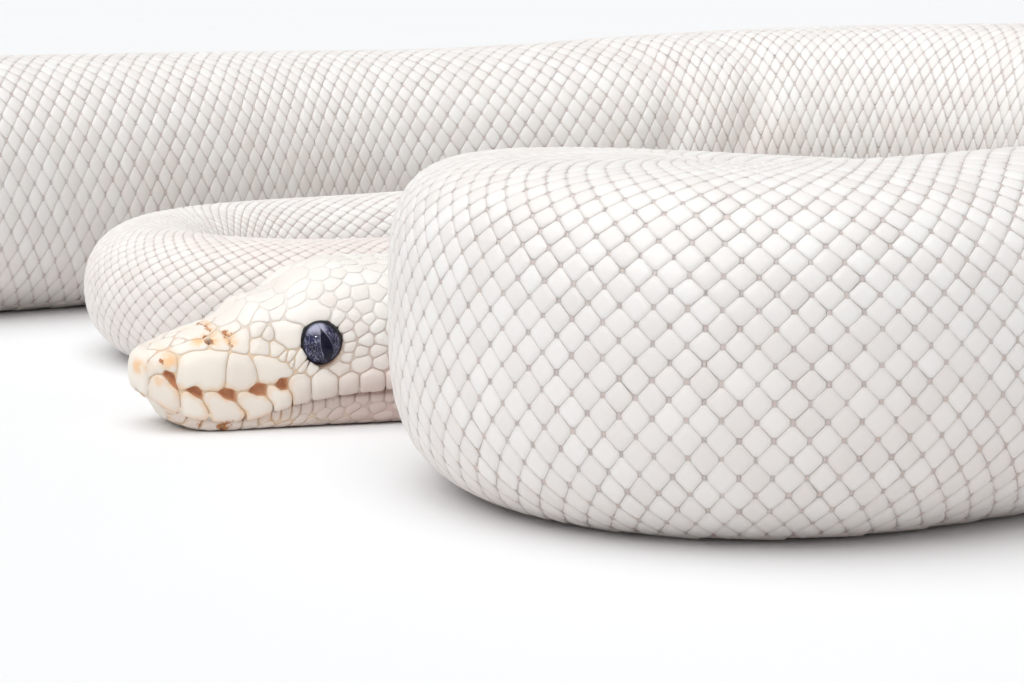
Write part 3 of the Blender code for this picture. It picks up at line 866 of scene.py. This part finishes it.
def seeded(drawn, blocked, dice):
    """Add seeds to the drawn shields: some listed, the rest strewn where there is room."""
    shields = [(deepest(outline), LIP_MARK if kind == "lip" else DRAWN_MARK, outline)
               for outline, kind in drawn]
    for along, up, radius in FACE_SEEDS:
        for side in (LEFT, RIGHT):
            shields.append((np.array([along, side * side_run(along, up)]), radius, None))
    for along, across, radius in CROWN_SEEDS:
        for side in (LEFT, RIGHT):
            shields.append((np.array([along, side * across]), radius, None))
    count_set = len(shields)
    outlines = [(outline.min(axis=0) - 1, outline.max(axis=0) + 1, outline)
                for outline in [outline for outline, _ in drawn] + blocked]
    centres = np.array([centre for centre, _, _ in shields])
    radii = np.array([radius for _, radius, _ in shields])
    for first, second in dice.random((STREWN_TRIES, 2)):
        along = FILL_START + first * (FILL_END - FILL_START)
        run = (second - 0.5) * float(girth_at(along))
        radius = float(fill_radius(along, run)) * (1.0 + 0.08 * sin(1000 * first))
        spot = np.array([along, run])
        apart = np.hypot(*(centres - spot).T)
        if np.any(apart[len(drawn):] < 0.93 * (radii[len(drawn):] + radius)):
            continue
        if any(np.all(spot > low) and np.all(spot < high) and inside(spot[None], outline)[0] > -0.6 * radius
               for low, high, outline in outlines):
            continue
        low = abs(run) > side_run(along, CHEEK_LINE)
        shields.append((spot, radius, spot + CHEEK_OVAL * 0.7 * radius if low else None))
        centres, radii = np.vstack([centres, spot]), np.append(radii, radius)
    return shields, count_set


def relaxed(shields, first_free, blocked):
    """Move the strewn seeds to the middles of their shields, so that these even out."""
    spans = [span(shield) for shield in shields]
    for _ in range(3):
        middles = [grown(index, shields, spans, blocked, 0.0, 14, 0.2).mean(axis=0)
                   for index in range(first_free, len(shields))]
        for index, middle in enumerate(middles, start=first_free):
            centre, radius, outline = shields[index]
            step = 0.7 * (middle - centre)
            shields[index] = (centre + step, radius, None if outline is None else outline + step)
    return shields


def rounded(outline, times, share=0.2):
    """Cut the corners of an outline."""
    for _ in range(times):
        after = np.roll(outline, -1, axis=0)
        outline = np.stack([outline + share * (after - outline), after - share * (after - outline)], axis=1)
        outline = outline.reshape(-1, 2)
    return outline


def resampled(outline, count):
    """Closed outline with its points an equal step apart."""
    closed = np.vstack([outline, outline[:1]])
    runs = np.concatenate([[0], np.cumsum(np.hypot(*np.diff(closed, axis=0).T))])
    marks = np.linspace(0, runs[-1], count, endpoint=False)
    return np.stack([np.interp(marks, runs, column) for column in closed.T], axis=1)


CROWNING = {                    # rise in mm, width of the rounded edge
    "lip": (0.38, 1.0), "shield": (0.25, 1.1), "nose": (0.16, 0.8), "brow": (0.3, 0.8),
    "jaw": (0.26, 0.7), "small": (0.17, 0.5), "crown": (0.13, 0.5),
}


UNDERSIDE = -0.1                # lift of the middle of a shield's underside, so that it follows a hollow


def plate(outline, kind, middle):
    """One shield as arrays: points in mm, faces, and the numbers that its finish reads."""
    x, y = outline.T
    turning = np.sum(x * np.roll(y, -1) - y * np.roll(x, -1))
    if turning < 0:
        outline = outline[::-1]
    length = np.hypot(*(np.roll(outline, -1, axis=0) - outline).T).sum()
    sides = int(np.clip(round(length / (0.36 if kind != "small" else 0.5)), 11, 44))
    outline = resampled(outline, sides)
    inradius = max(inside(middle[None], outline)[0], 0.15)
    depths = [0.0, 0.05, 0.16]
    step = 0.3 if kind != "small" else 0.42
    while depths[-1] + step < inradius * 0.95:
        depths.append(depths[-1] + step)
    rise, rounding = CROWNING[kind]
    height = look_up(PLAIN_RINGS, middle[:1], middle[1:] / girth_at(middle[:1]))[0, 2]
    rise = rise * min(1.0, 0.55 + inradius * 0.5) * (1 - 0.5 * ease(height, 11, 17))
    rings, lifts, rims = [], [], []
    for depth in depths:
        rings.append(middle + (outline - middle) * (1 - depth / inradius))
        share = min(depth / min(rounding, inradius), 1.0)
        lift = -0.04 if depth == 0 else 0.03 + rise * sqrt(1 - (1 - share) ** 2)
        lifts += [lift] * sides
        rims += [1 - share] * sides
    flat = np.vstack([*rings, middle[None], middle[None]])
    lifts += [0.05 + rise, UNDERSIDE]
    rims += [0.0, 0.0]
    around = flat[:, 1] / girth_at(flat[:, 0])
    lifts = np.array(lifts)
    points = on_skin(flat[:, 0], around, lifts, kind == "lip")
    if kind == "lip":
        points[:sides] = on_skin(flat[:sides, 0], around[:sides], lifts[:sides])
    faces = ringed_faces(sides, len(depths))[:-1]
    faces += [(len(flat) - 1, (side + 1) % sides, side) for side in range(sides)]
    return points, faces, flat[:, 0], around, np.array(rims)


def head_plates():
    """All shields and scales of the head, by kind of piece."""
    dice = np.random.default_rng(11)
    one_side = face_outlines()
    drawn = one_side + [(mirrored(outline), kind) for outline, kind in one_side]
    blocked = openings()
    blocked = blocked + [mirrored(outline) for outline in blocked]
    shields, first_free = seeded(drawn, blocked, dice)
    shields = relaxed(shields, first_free, blocked)
    spans = [span(shield) for shield in shields]
    lips = [index for index, (_, kind) in enumerate(drawn) if kind == "lip"]
    jaws = [index for index, (_, kind) in enumerate(drawn) if kind == "jaw"]
    above = [index for index in range(len(shields)) if index not in jaws]
    below = [index for index in range(len(shields)) if index not in lips]
    plates = {"head_shields": [], "head_scales": [], "jaw_scales": []}
    for index, (centre, radius, outline) in enumerate(shields):
        level = below if index in jaws else above
        some = [shields[at] for at in level]
        shape = grown(level.index(index), some, [spans[at] for at in level], blocked, GROOVE)
        if np.ptp(shape, axis=0).min() < LEAST_SHIELD:
            continue
        if index < len(drawn):
            kind = drawn[index][1]
            plates["jaw_scales" if kind == "jaw" else "head_shields"].append((shape, kind, centre))
            continue
        big = radius > CROWN_SHIELD_RADIUS
        low = outline is not None
        group = "head_shields" if big and not low else "jaw_scales" if low else "head_scales"
        plates[group].append((shape, "crown" if big else "small", centre))
    return plates


CHEEK_SHADE, GAP_SHADE = 0.36, 0.9      # strength of the painted shade on the jaw under the cheek, and of the painted shadow where the lips part


def plates_piece(name, shapes):
    """Join many plates into one mesh."""
    dice = np.random.default_rng(5)
    points, loops, sizes, along, around, rims, tones, middles = [], [], [], [], [], [], [], []
    count = 0
    for shape, kind, centre in shapes:
        some, faces, places, shares, rim = plate(shape, kind, centre)
        points.append(some)
        for face in faces:
            loops.extend(corner + count for corner in face)
            sizes.append(len(face))
        along.append(places)
        around.append(shares)
        rims.append(rim)
        # jaw plates take the full darker tone: painted shade of the lower jaw under the lip
        tones.append(np.full(len(some), dice.random() if kind != "jaw" else 1.0))
        middles.append(np.tile([places[-1], shares[-1]], (len(some), 1)))
        count += len(some)
    points = np.concatenate(points)
    along, around = np.concatenate(along), np.concatenate(around)
    middles = np.concatenate(middles)
    spread = np.stack([along, around], axis=1) - middles
    scale = 1.0 if name == "head_shields" else 0.12
    unwrap = middles + spread * scale
    unwrap = (unwrap - [-1.0, -0.5]) / [67.0, 1.0] * 0.98 + 0.01
    values = {"rim": np.concatenate(rims), "tone": np.concatenate(tones)}
    values |= markings(along, around, points[:, 2])
    loops = np.array(loops)
    edge = (along < 17.2) * (points[:, 2] < 6.3) * ease(values["rim"], 0.55, 1.0)
    values["stain"] = np.clip(values["stain"] + 0.6 * edge, 0, 1)
    above = points[:, 2] - mouth_height(along)
    # pinker below the mouth at the front: partly the jaw's own pinkish colour, partly painted shade under
    # the lip
    values["blush"] = np.clip(values["blush"] + 0.5 * (1 - ease(above, -0.4, 0.3)) * (along < 30), 0, 1)
    # painted shade: lower parts of the lip shields and the jaw towards the back of the mouth darker, and a
    # painted shadow on the jaw scales just under the upper lip
    cheek_shadow = ease(along, 12, 22) * (1 - ease(along, 44, 56)) * (1 - ease(above, 0.3, 2.6))
    parting = ease(along, 22, 29)
    gap = np.exp(-((above + 0.1 + 0.14 * parting) / (0.3 + 0.16 * parting)) ** 2)
    gap = gap * (name == "jaw_scales") * ease(MOUTH_END - along, 0, 3)
    gap = gap * ease(along, 3, 14)
    values["shade"] = np.clip(CHEEK_SHADE * cheek_shadow + GAP_SHADE * gap, 0, 1)
    values["rim"] = values["rim"] * (1 - 0.7 * ease(points[:, 2], 11, 16))
    return make_piece(name, points, loops, np.array(sizes), HEAD_HORN,
                      {"OFBake": (loops, unwrap)}, values)


def front_plates():
    """The shields on the very front of the snout and chin, cast on to the skin from ahead."""
    rows = slice(0, 60)
    table = RINGS[rows]
    count = table.shape[1] - 1
    points = [Vector(point) for ring in table for point in ring[:-1]]
    corners = [(c, (c + 1) % count) for c in range(count)]
    faces = [(r * count + c, (r + 1) * count + c, (r + 1) * count + after, r * count + after)
             for r in range(table.shape[0] - 1) for c, after in corners]
    surface = BVHTree.FromPolygons(points, faces)
    towards = Vector(AHEAD)
    shapes = []
    for half, rise in ((ROSTRAL, 0.4), (MENTAL, 0.25)):
        outline = np.array(list(half) + [(-across, up) for across, up in half[-2:0:-1]])
        outline = resampled(rounded(outline, 2), 40)
        middle = outline.mean(axis=0)
        rings, lifts, rims = [], [], []
        for share in (1.0, 0.97, 0.9, 0.78, 0.62, 0.45, 0.25, 0.08):
            rings.append(middle + (outline - middle) * share)
            slope = max(0.0, (share - 0.3) / 0.7)
            lift = -0.12 if share == 1.0 else 0.05 + rise * sqrt(max(0.0, 1 - slope ** 2))
            lifts += [lift] * 40
            rims += [ease(share, 0.6, 1.0)] * 40
        flat = np.vstack([*rings, middle[None]])
        lifts, rims = lifts + [0.05 + rise], rims + [0.0]
        cast = []
        for (across, up), lift in zip(flat, lifts):
            start = head_point(-8, across, up) + SHIFT
            spot, normal, _, _ = surface.ray_cast(Vector(start), towards)
            if spot is None:
                spot, normal, _, _ = surface.find_nearest(Vector(head_point(1.0, across, up) + SHIFT))
            cast.append(np.array(spot) + np.array(normal) * lift)
        shapes.append((np.array(cast), ringed_faces(40, 8), flat, np.array(rims)))
    offset, loops, sizes = 0, [], []
    for cast, faces, _, _ in shapes:
        for face in faces:
            loops.extend(corner + offset for corner in face)
            sizes.append(len(face))
        offset += len(cast)
    points = np.concatenate([shape[0] for shape in shapes])
    flat = np.concatenate([shape[2] for shape in shapes])
    loops = np.array(loops)
    values = {"rim": np.concatenate([shape[3] for shape in shapes]), "tone": np.full(len(points), 0.2)}
    values |= markings((points - SHIFT - SNOUT_POINT) @ AHEAD, np.where(flat[:, 0] < 0, -0.2, 0.2),
                       points[:, 2])
    values["crust"] = values["crust"] * 0
    unwrap = flat / 12 + [0.5, 0.05]
    return make_piece("front_shields", points, loops, np.array(sizes), HEAD_HORN,
                      {"OFBake": (loops, unwrap)}, values)


# ---------------------------------------------------------------- the skin itself

def skin_hollows():
    """Depth of the pits, nostrils and mouth in the skin, with a mask for the colour of the pits and one of
    painted shade in the nostril, eye socket and mouth groove.
    """
    head = PLACES <= HEAD_LENGTH
    shape = RINGS.shape[:2]
    hollow, pit, shade = np.zeros(shape), np.zeros(shape), np.zeros(shape)
    place = np.broadcast_to(PLACES[head, None], (head.sum(), AROUND + 1))
    around = np.broadcast_to(np.linspace(-0.5, 0.5, AROUND + 1), place.shape)
    run = np.abs(around) * girth_at(place)
    spots = np.stack([place, run], axis=-1)
    for outline in PITS:
        within = inside(spots, on_side(outline))
        hollow[head] += 0.95 * ease(within, -0.12, 0.35)
        pit[head] = np.maximum(pit[head], ease(within, -0.16, 0.02))
    along, up, wide, tall = NOSTRIL
    nose = np.exp(-(((place - along) / wide) ** 2 + ((run - side_run(along, up)) / tall) ** 2) ** 2)
    hollow[head] += 0.55 * nose
    # painted shade in the hollow of the nostril
    shade[head] = np.maximum(shade[head], nose)
    wide, tall = EYE_OPENING
    socket = np.hypot((place - EYE_PLACE + 0.15) * tall / wide, run - side_run(EYE_PLACE, EYE_HEIGHT - 0.2))
    hollow[head] += 0.9 * (1 - ease(socket, tall - 0.8, tall - 0.1))
    # painted shade round the rim of the eye socket
    shade[head] = np.maximum(shade[head], 0.75 * (1 - ease(socket, tall - 0.1, tall + 0.1)))
    below = mouth_height(place) - RINGS[head][..., 2]
    lip = np.exp(-((below - 0.05) / 0.28) ** 2) * (1 - ease(place, MOUTH_END - 2, MOUTH_END + 1))
    lip = lip * (np.abs(around) < 0.47) * ease(place, 0.2, 1.2)
    hollow[head] += 0.35 * lip
    # painted shadow in the groove under the upper lip
    shade[head] = np.maximum(shade[head], 0.8 * lip)
    return hollow, pit, shade


CROWN_PALENESS, CROWN_HEIGHTS = 0.8, (10.5, 15.5)   # the skin turns white between these heights


def snake_skin():
    """One closed skin from the snout to the tip of the tail."""
    hollow, pit, shade = skin_hollows()
    rings = RINGS - NORMALS * hollow[..., None]
    rings[..., 2] = np.maximum(rings[..., 2], 0.15)
    split = int(np.searchsorted(PLACES, HEAD_LENGTH + 8))
    fine = np.arange(0, AROUND)
    coarse = np.arange(0, AROUND, BODY_STRIDE[1])
    rows = list(range(split)) + list(range(split, len(PLACES) - 8, BODY_STRIDE[0]))
    rows += list(range(len(PLACES) - 8, len(PLACES)))
    columns = [fine if row < split else coarse for row in rows]
    starts = np.concatenate([[0], np.cumsum([len(c) for c in columns])])
    take_rows = np.concatenate([np.full(len(c), row) for row, c in zip(rows, columns)])
    take_columns = np.concatenate(columns)
    points = rings[take_rows, take_columns]
    loops, sizes = [], []
    for at in range(len(rows) - 1):
        near, far = starts[at], starts[at + 1]
        count_near, count_far = len(columns[at]), len(columns[at + 1])
        k = np.arange(count_far)
        if count_near == count_far:
            after = (k + 1) % count_far
            quads = np.stack([near + k, far + k, far + after, near + after], axis=1)
        else:
            edge = [near + (3 * k + step) % count_near for step in (3, 2, 1, 0)]
            quads = np.stack([far + k, far + (k + 1) % count_far, *edge], axis=1)
        loops.append(quads.ravel())
        sizes += [quads.shape[1]] * len(quads)
    loops.append(np.arange(starts[0], starts[1]))
    sizes.append(len(columns[0]))
    loops.append(np.arange(starts[-2], starts[-1])[::-1])
    sizes.append(len(columns[-1]))
    loops, sizes = np.concatenate(loops), np.array(sizes)
    place = PLACES[take_rows]
    around = take_columns / AROUND - 0.5
    unwrap = skin_unwrap(loops, sizes, place, around)
    values = markings(place, around, points[:, 2])
    values |= {"pit": pit[take_rows, take_columns], "shade": shade[take_rows, take_columns]}
    values["pale"] = CROWN_PALENESS * ease(points[:, 2], *CROWN_HEIGHTS) * (place < HEAD_LENGTH)
    skin = make_piece("snake_skin", points, loops, sizes, SKIN,
                      {"OFBake": (np.arange(len(loops)), unwrap)}, values)
    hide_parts(*[name for name in NODES if not name.startswith("eye")])
    return skin


def skin_unwrap(loops, sizes, place, around):
    """Unwrap in twelve strips, each a length of the body laid flat; the head has one of its own."""
    ends = np.concatenate([[PLACES[0]], np.linspace(HEAD_LENGTH, PLACES[-1], 12)])
    starts = np.concatenate([[0], np.cumsum(sizes)[:-1]])
    face_of = np.repeat(np.arange(len(sizes)), sizes)
    middle = np.add.reduceat(place[loops], starts) / sizes
    strip = np.clip(np.searchsorted(ends, middle) - 1, 0, 11)[face_of]
    share = (place[loops] - ends[strip]) / (ends[strip + 1] - ends[strip])
    turn = around[loops]
    first = np.minimum.reduceat(turn, starts)[face_of]
    wraps = (np.maximum.reduceat(turn, starts)[face_of] - first > 0.5) & (turn < 0)
    turn = np.where(wraps, turn + 1.0, turn)
    return np.stack([share * 0.97 + 0.015, (strip + 0.03 + 0.92 * (turn + 0.5)) / 12], axis=1)


# ---------------------------------------------------------------- body scales

SCALE_ROWS = 59                 # round the thickest part of the body
ROW_PAIRS = ((16, 330, 835), (10, 400, 770), (22, 470, 700), (13, 0, 1110), (19, 0, 1170),
             (7, 0, 1215), (25, 0, 1255), (4, 0, 1290))     # first of two rows, and where they start and end
ROW_TAPER = 9.0                 # length over which a pair of rows starts or ends
ROW_WIDENING = (0.93, 0.8, 5.0)         # the rows beside the belly are the widest
BELLY_SHARE = 0.15              # share of the girth that the belly scutes take
SCALE_PITCHES = ((62, 1.8), (190, 2.45), (300, 2.6), (420, 2.9), (560, 3.0), (800, 3.2), (960, 3.0),
                 (1020, 2.5), (1120, 2.8), (1200, 2.6), (1300, 2.1), (1368, 1.4))
BEND_SHARE = 0.85               # how far the spacing of the scales follows the outer side of a bend
LEAST_PRESENCE, LEAST_ROOM = 0.15, 0.05     # a scale narrower or more crowded than this is left out
SCALES_START = 63.0
CORNER_CUT = 0.16
SCALE_RINGS = ((1.06, -0.25), (0.88, 0.58), (0.5, 0.93))
SCALES_PER_PIECE = 4200
PATCH = 0.003                   # size of a scale's patch on the unwrap
SCUTE_PITCH = 5.9


def scale_rows():
    """For each place and row: its middle and half width, as shares of the girth, and its presence."""
    rows = np.arange(SCALE_ROWS)
    least, extra, reach = ROW_WIDENING
    widths = least + extra * np.exp(-np.minimum(rows, SCALE_ROWS - 1 - rows) / reach)
    presence = np.ones((len(PLACES), SCALE_ROWS))
    for first, start, end in ROW_PAIRS:
        present = ease(PLACES, start - ROW_TAPER, start) * (1 - ease(PLACES, end, end + ROW_TAPER))
        for row in (first, first + 1, SCALE_ROWS - 2 - first, SCALE_ROWS - 1 - first):
            presence[:, row] = present
    widths = widths * presence
    widths = widths * (1 - BELLY_SHARE) / widths.sum(axis=1, keepdims=True)
    middles = np.cumsum(widths, axis=1) - widths / 2 - (0.5 - BELLY_SHARE / 2)
    return middles, widths, presence


def scale_spots():
    """Place, share of the girth, half length, half width and slant of every body scale."""
    steps = np.clip(PLACES, SCALES_START, None)
    outer_run = soften(np.maximum(RUNS.max(axis=1), 1.0), 6)[:, 0]
    pitch = np.interp(PLACES, *zip(*SCALE_PITCHES)) / outer_run ** BEND_SHARE
    counts = np.concatenate([[0], np.cumsum(np.diff(steps) / pitch[1:])])
    found = []
    last = np.interp(BODY_LENGTH - 4, PLACES, counts)
    middles, widths, presence = scale_rows()
    for row in range(SCALE_ROWS):
        marks = np.arange(0, last) + 0.5 * (row % 2)
        place = np.interp(marks, counts, PLACES)
        share, width, slant, present = (
            np.interp(place, PLACES, table)
            for table in (middles[:, row], widths[:, row], np.gradient(middles[:, row], PLACES),
                          presence[:, row]))
        run = look_up(RUNS, place, share)
        own = np.interp(place, PLACES, pitch)
        room = own * run / np.interp(place, *zip(*SCALE_PITCHES))
        gather = np.where(room < 0.15, 4, np.where(room < 0.32, 2, 1))
        keep = (np.arange(len(marks)) % gather == 0) & (room > LEAST_ROOM) & (present > LEAST_PRESENCE)
        shorter = np.minimum(1.0, 1.12 / np.maximum(room, LEAST_ROOM))
        half_length = 0.5 * own * gather * shorter
        found.append(np.stack([place, share, half_length, width, slant], axis=1)[keep])
    spots = np.concatenate(found)
    return spots[np.argsort(spots[:, 0], kind="stable")]


def body_scales():
    """Rounded, domed diamonds, a little higher towards the tail, in staggered rows, in several joined
    pieces.
    """
    dice = np.random.default_rng(3)
    spots = scale_spots()
    c = CORNER_CUT
    outline = np.array([(1 - c, -c), (1 - c, c), (c, 1 - c), (-c, 1 - c),
                        (c - 1, c), (c - 1, -c), (-c, c - 1), (c, c - 1)])
    template = np.vstack([outline * share for share, _ in SCALE_RINGS] + [np.zeros((1, 2))])
    heights = np.concatenate([np.full(8, height) for _, height in SCALE_RINGS] + [[1.0]])
    rims = np.concatenate([np.full(8, rim) for rim in (1.0, 0.85, 0.35)] + [[0.0]])
    faces = ringed_faces(8, len(SCALE_RINGS))
    pieces = ceil(len(spots) / SCALES_PER_PIECE)
    for number, chunk in enumerate(np.array_split(spots, pieces), start=1):
        count, corners = len(chunk), len(template)
        jitter = 1 + 0.035 * dice.standard_normal((count, 2))
        place = chunk[:, 0:1] + template[:, 0] * chunk[:, 2:3] * jitter[:, 0:1] * 1.04
        around = chunk[:, 1:2] + template[:, 1] * chunk[:, 3:4] * jitter[:, 1:2] * 0.99
        around = around + (place - chunk[:, 0:1]) * chunk[:, 4:5]
        depth = np.interp(chunk[:, 0], *zip(*COAT_DEPTHS))[:, None]
        rise = depth * (0.62 + 0.04 * dice.standard_normal((count, 1))).clip(0.5, 0.75)
        lift = rise * heights * (0.88 + 0.12 * template[:, 0])
        points = on_skin(place, around, lift).reshape(-1, 3)
        loops, sizes = repeated(faces, count, corners)
        low, high = chunk[0, 0], chunk[-1, 0]
        roots = np.stack([(chunk[:, 0] - low) / (high - low), chunk[:, 1] + 0.5], axis=1) * 0.98 + 0.01
        unwrap = (roots[:, None, :] + template * PATCH / 2).reshape(-1, 2)
        values = {"rim": np.tile(rims, count), "tone": np.repeat(dice.random(count), corners)}
        values |= markings(place.ravel(), around.ravel(), points[:, 2])
        make_piece(f"body_scales_{number:02d}", points, loops, sizes, BODY_HORN,
                   {"OFBake": (loops, unwrap)}, values)


def belly_scutes():
    """Wide plates, one after another, that the animal rests on."""
    dice = np.random.default_rng(9)
    count = int((BODY_LENGTH - 8 - SCALES_START) / SCUTE_PITCH)
    starts = SCALES_START + (np.arange(count) + 0.5) * SCUTE_PITCH
    ahead = np.array([-1.0, -0.9, -0.3, 0.4, 0.92, 1.04])
    wide = np.linspace(-1, 1, 15)
    grid_a, grid_b = (grid.ravel() for grid in np.meshgrid(ahead, wide, indexing="ij"))
    edge = (np.abs(grid_b) > 0.99) | (grid_a < -0.99) | (grid_a > 1.0)
    heights = np.where(edge, -0.2, 0.45 + 0.3 * grid_a)
    rows, columns = len(ahead), len(wide)
    faces = [(r * columns + c, (r + 1) * columns + c, (r + 1) * columns + c + 1, r * columns + c + 1)
             for r in range(rows - 1) for c in range(columns - 1)]
    rim = [(r, 0) for r in range(rows)] + [(rows - 1, c) for c in range(1, columns)]
    rim += [(r, columns - 1) for r in range(rows - 2, -1, -1)] + [(0, c) for c in range(columns - 2, 0, -1)]
    faces.append([r * columns + c for r, c in rim][::-1])
    place = starts[:, None] + grid_a * SCUTE_PITCH / 2
    around = 0.5 + grid_b[None, :] * (BELLY_SHARE / 2 + 0.008)
    around = np.broadcast_to(around, place.shape)
    depth = np.interp(starts, *zip(*COAT_DEPTHS))[:, None]
    points = on_skin(place, around, depth * heights).reshape(-1, 3)
    loops, sizes = repeated(faces, count, len(grid_a))
    roots = np.stack([(starts - SCALES_START) / BODY_LENGTH, np.full(count, 0.5)], axis=1)
    patch = np.stack([grid_a * PATCH / 2, grid_b * 0.4], axis=1)
    unwrap = (roots[:, None, :] * 0.98 + 0.01 + patch).reshape(-1, 2)
    values = {"rim": np.tile(edge.astype(float), count),
              "tone": np.repeat(dice.random(count), len(grid_a))}
    share = np.where(around > 0.5, around - 1, around).ravel()
    values |= markings(place.ravel(), share, points[:, 2])
    return make_piece("belly_scutes", points, loops, sizes, BELLY_HORN,
                      {"OFBake": (loops, unwrap)}, values)


# ---------------------------------------------------------------- eyes

EYE_BANDS, EYE_SIDES = 40, 64


def eyeball(name, side):
    """Clear-coated ball whose iris coordinates are measured from the middle of the eye, in mm."""
    outwards = ACROSS * side
    upwards = np.array([0.0, 0.0, 1.0])
    centre = head_point(EYE_PLACE, side * EYE_REACH, EYE_HEIGHT) + SHIFT
    points, iris = [], []
    for band in range(1, EYE_BANDS):
        tilt = pi * band / EYE_BANDS
        for turn in np.linspace(0, 2 * pi, EYE_SIDES, endpoint=False):
            along, up, out = sin(tilt) * cos(turn), sin(tilt) * sin(turn), cos(tilt)
            points.append(centre + EYE_RADIUS * (AHEAD * along + upwards * up + outwards * out))
            iris.append((EYE_RADIUS * along, EYE_RADIUS * up))
    points += [centre + EYE_RADIUS * outwards, centre - EYE_RADIUS * outwards]
    iris += [(0, 0), (0, 0)]
    front, back = len(points) - 2, len(points) - 1
    faces = []
    for band in range(EYE_BANDS - 2):
        for turn in range(EYE_SIDES):
            after = (turn + 1) % EYE_SIDES
            low, high = band * EYE_SIDES, (band + 1) * EYE_SIDES
            faces.append((low + turn, high + turn, high + after, low + after))
    last = (EYE_BANDS - 2) * EYE_SIDES
    for turn in range(EYE_SIDES):
        after = (turn + 1) % EYE_SIDES
        faces.append((front, turn, after))
        faces.append((back, last + after, last + turn))
    if side == RIGHT:
        faces = [face[::-1] for face in faces]
    loops = np.concatenate([np.array(face) for face in faces])
    sizes = np.array([len(face) for face in faces])
    ball = make_piece(name, np.array(points), loops, sizes, EYE,
                      {"iris": (loops, np.array(iris, float))})
    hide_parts("eye_left" if side == LEFT else "eye_right")
    return ball


# ---------------------------------------------------------------- floor, light and camera

def studio_floor():
    """Wide sheet of matt white board."""
    finish, tree, shader = new_finish("matt_white_board")
    base = mixed(tree, speckle(tree, 40), linear("#EBECED"), linear("#EEEFF0"))
    tree.links.new(base, shader.inputs["Base Color"])
    shader.inputs["Roughness"].default_value = 0.9
    mesh = bpy.data.meshes.new("floor")
    half = 6.0
    mesh.from_pydata([(-half, -half, 0), (half, -half, 0), (half, half, 0), (-half, half, 0)], [],
                     [(0, 1, 2, 3)])
    mesh.materials.append(finish)
    floor = bpy.data.objects.new("floor", mesh)
    bpy.context.scene.collection.objects.link(floor)


def soft_light(name, at, aim, size, watts, colour):
    """Square softbox that faces a point."""
    lamp = bpy.data.lights.new(name, "AREA")
    lamp.shape = "SQUARE"
    lamp.size = size
    lamp.energy = watts
    lamp.color = linear(colour)[:3]
    light = bpy.data.objects.new(name, lamp)
    light.location = at
    light.rotation_euler = (Vector(aim) - Vector(at)).to_track_quat("-Z", "Y").to_euler()
    bpy.context.scene.collection.objects.link(light)
    return light


GLINT_OFFSET = (-0.16, -0.48, 0.31)     # from the eye to the lamp that gives it a catchlight, in metres
GLINT_SIZE, GLINT_WATTS = 0.06, 0.9
ROOM_LIGHT = 0.45
OVERHEAD_LIGHT, OVERHEAD_WIDTH = 2.34, radians(75)
OVERHEAD_TILT = (radians(13), radians(-16), 0)      # it leans to the front and the left


def studio_light():
    """White room, a broad sheet of light overhead and a small bright lamp at the upper left."""
    world = bpy.data.worlds.new("white_room")
    world.use_nodes = True
    room = world.node_tree.nodes["Background"]
    room.inputs["Color"].default_value = linear("#FFFFFF")
    room.inputs["Strength"].default_value = ROOM_LIGHT
    bpy.context.scene.world = world
    sheet = bpy.data.lights.new("overhead", "SUN")
    sheet.energy = OVERHEAD_LIGHT
    sheet.angle = OVERHEAD_WIDTH
    overhead = bpy.data.objects.new("overhead", sheet)
    overhead.rotation_euler = OVERHEAD_TILT
    bpy.context.scene.collection.objects.link(overhead)
    eye = Vector((head_point(EYE_PLACE, LEFT * EYE_REACH, EYE_HEIGHT) + SHIFT) * MM)
    glint = soft_light("glint", eye + Vector(GLINT_OFFSET), eye, GLINT_SIZE, GLINT_WATTS, "#FFFDF8")
    glint.visible_diffuse = False
    bpy.context.scene.view_settings.view_transform = "Standard"


CAMERA_HEIGHT = 57.9
CAMERA_TILT = radians(8.92)
CAMERA_LENS = 87.9


def studio_camera():
    """Long lens, low over the floor, looking slightly down."""
    camera = bpy.data.objects.new("camera", bpy.data.cameras.new("camera"))
    camera.data.lens = CAMERA_LENS
    camera.data.sensor_width = 36.0
    camera.data.clip_start = 0.01
    camera.location = (SHIFT + [0, 0, CAMERA_HEIGHT]) * MM
    camera.rotation_euler = (pi / 2 - CAMERA_TILT, 0, 0)
    bpy.context.scene.collection.objects.link(camera)
    bpy.context.scene.camera = camera


snake_skin()
body_scales()
belly_scutes()
for piece_name, shapes in head_plates().items():
    plates_piece(piece_name, shapes)
front_plates()
eyeball("eyeball_left", LEFT)
eyeball("eyeball_right", RIGHT)
studio_floor()
studio_light()
studio_camera()
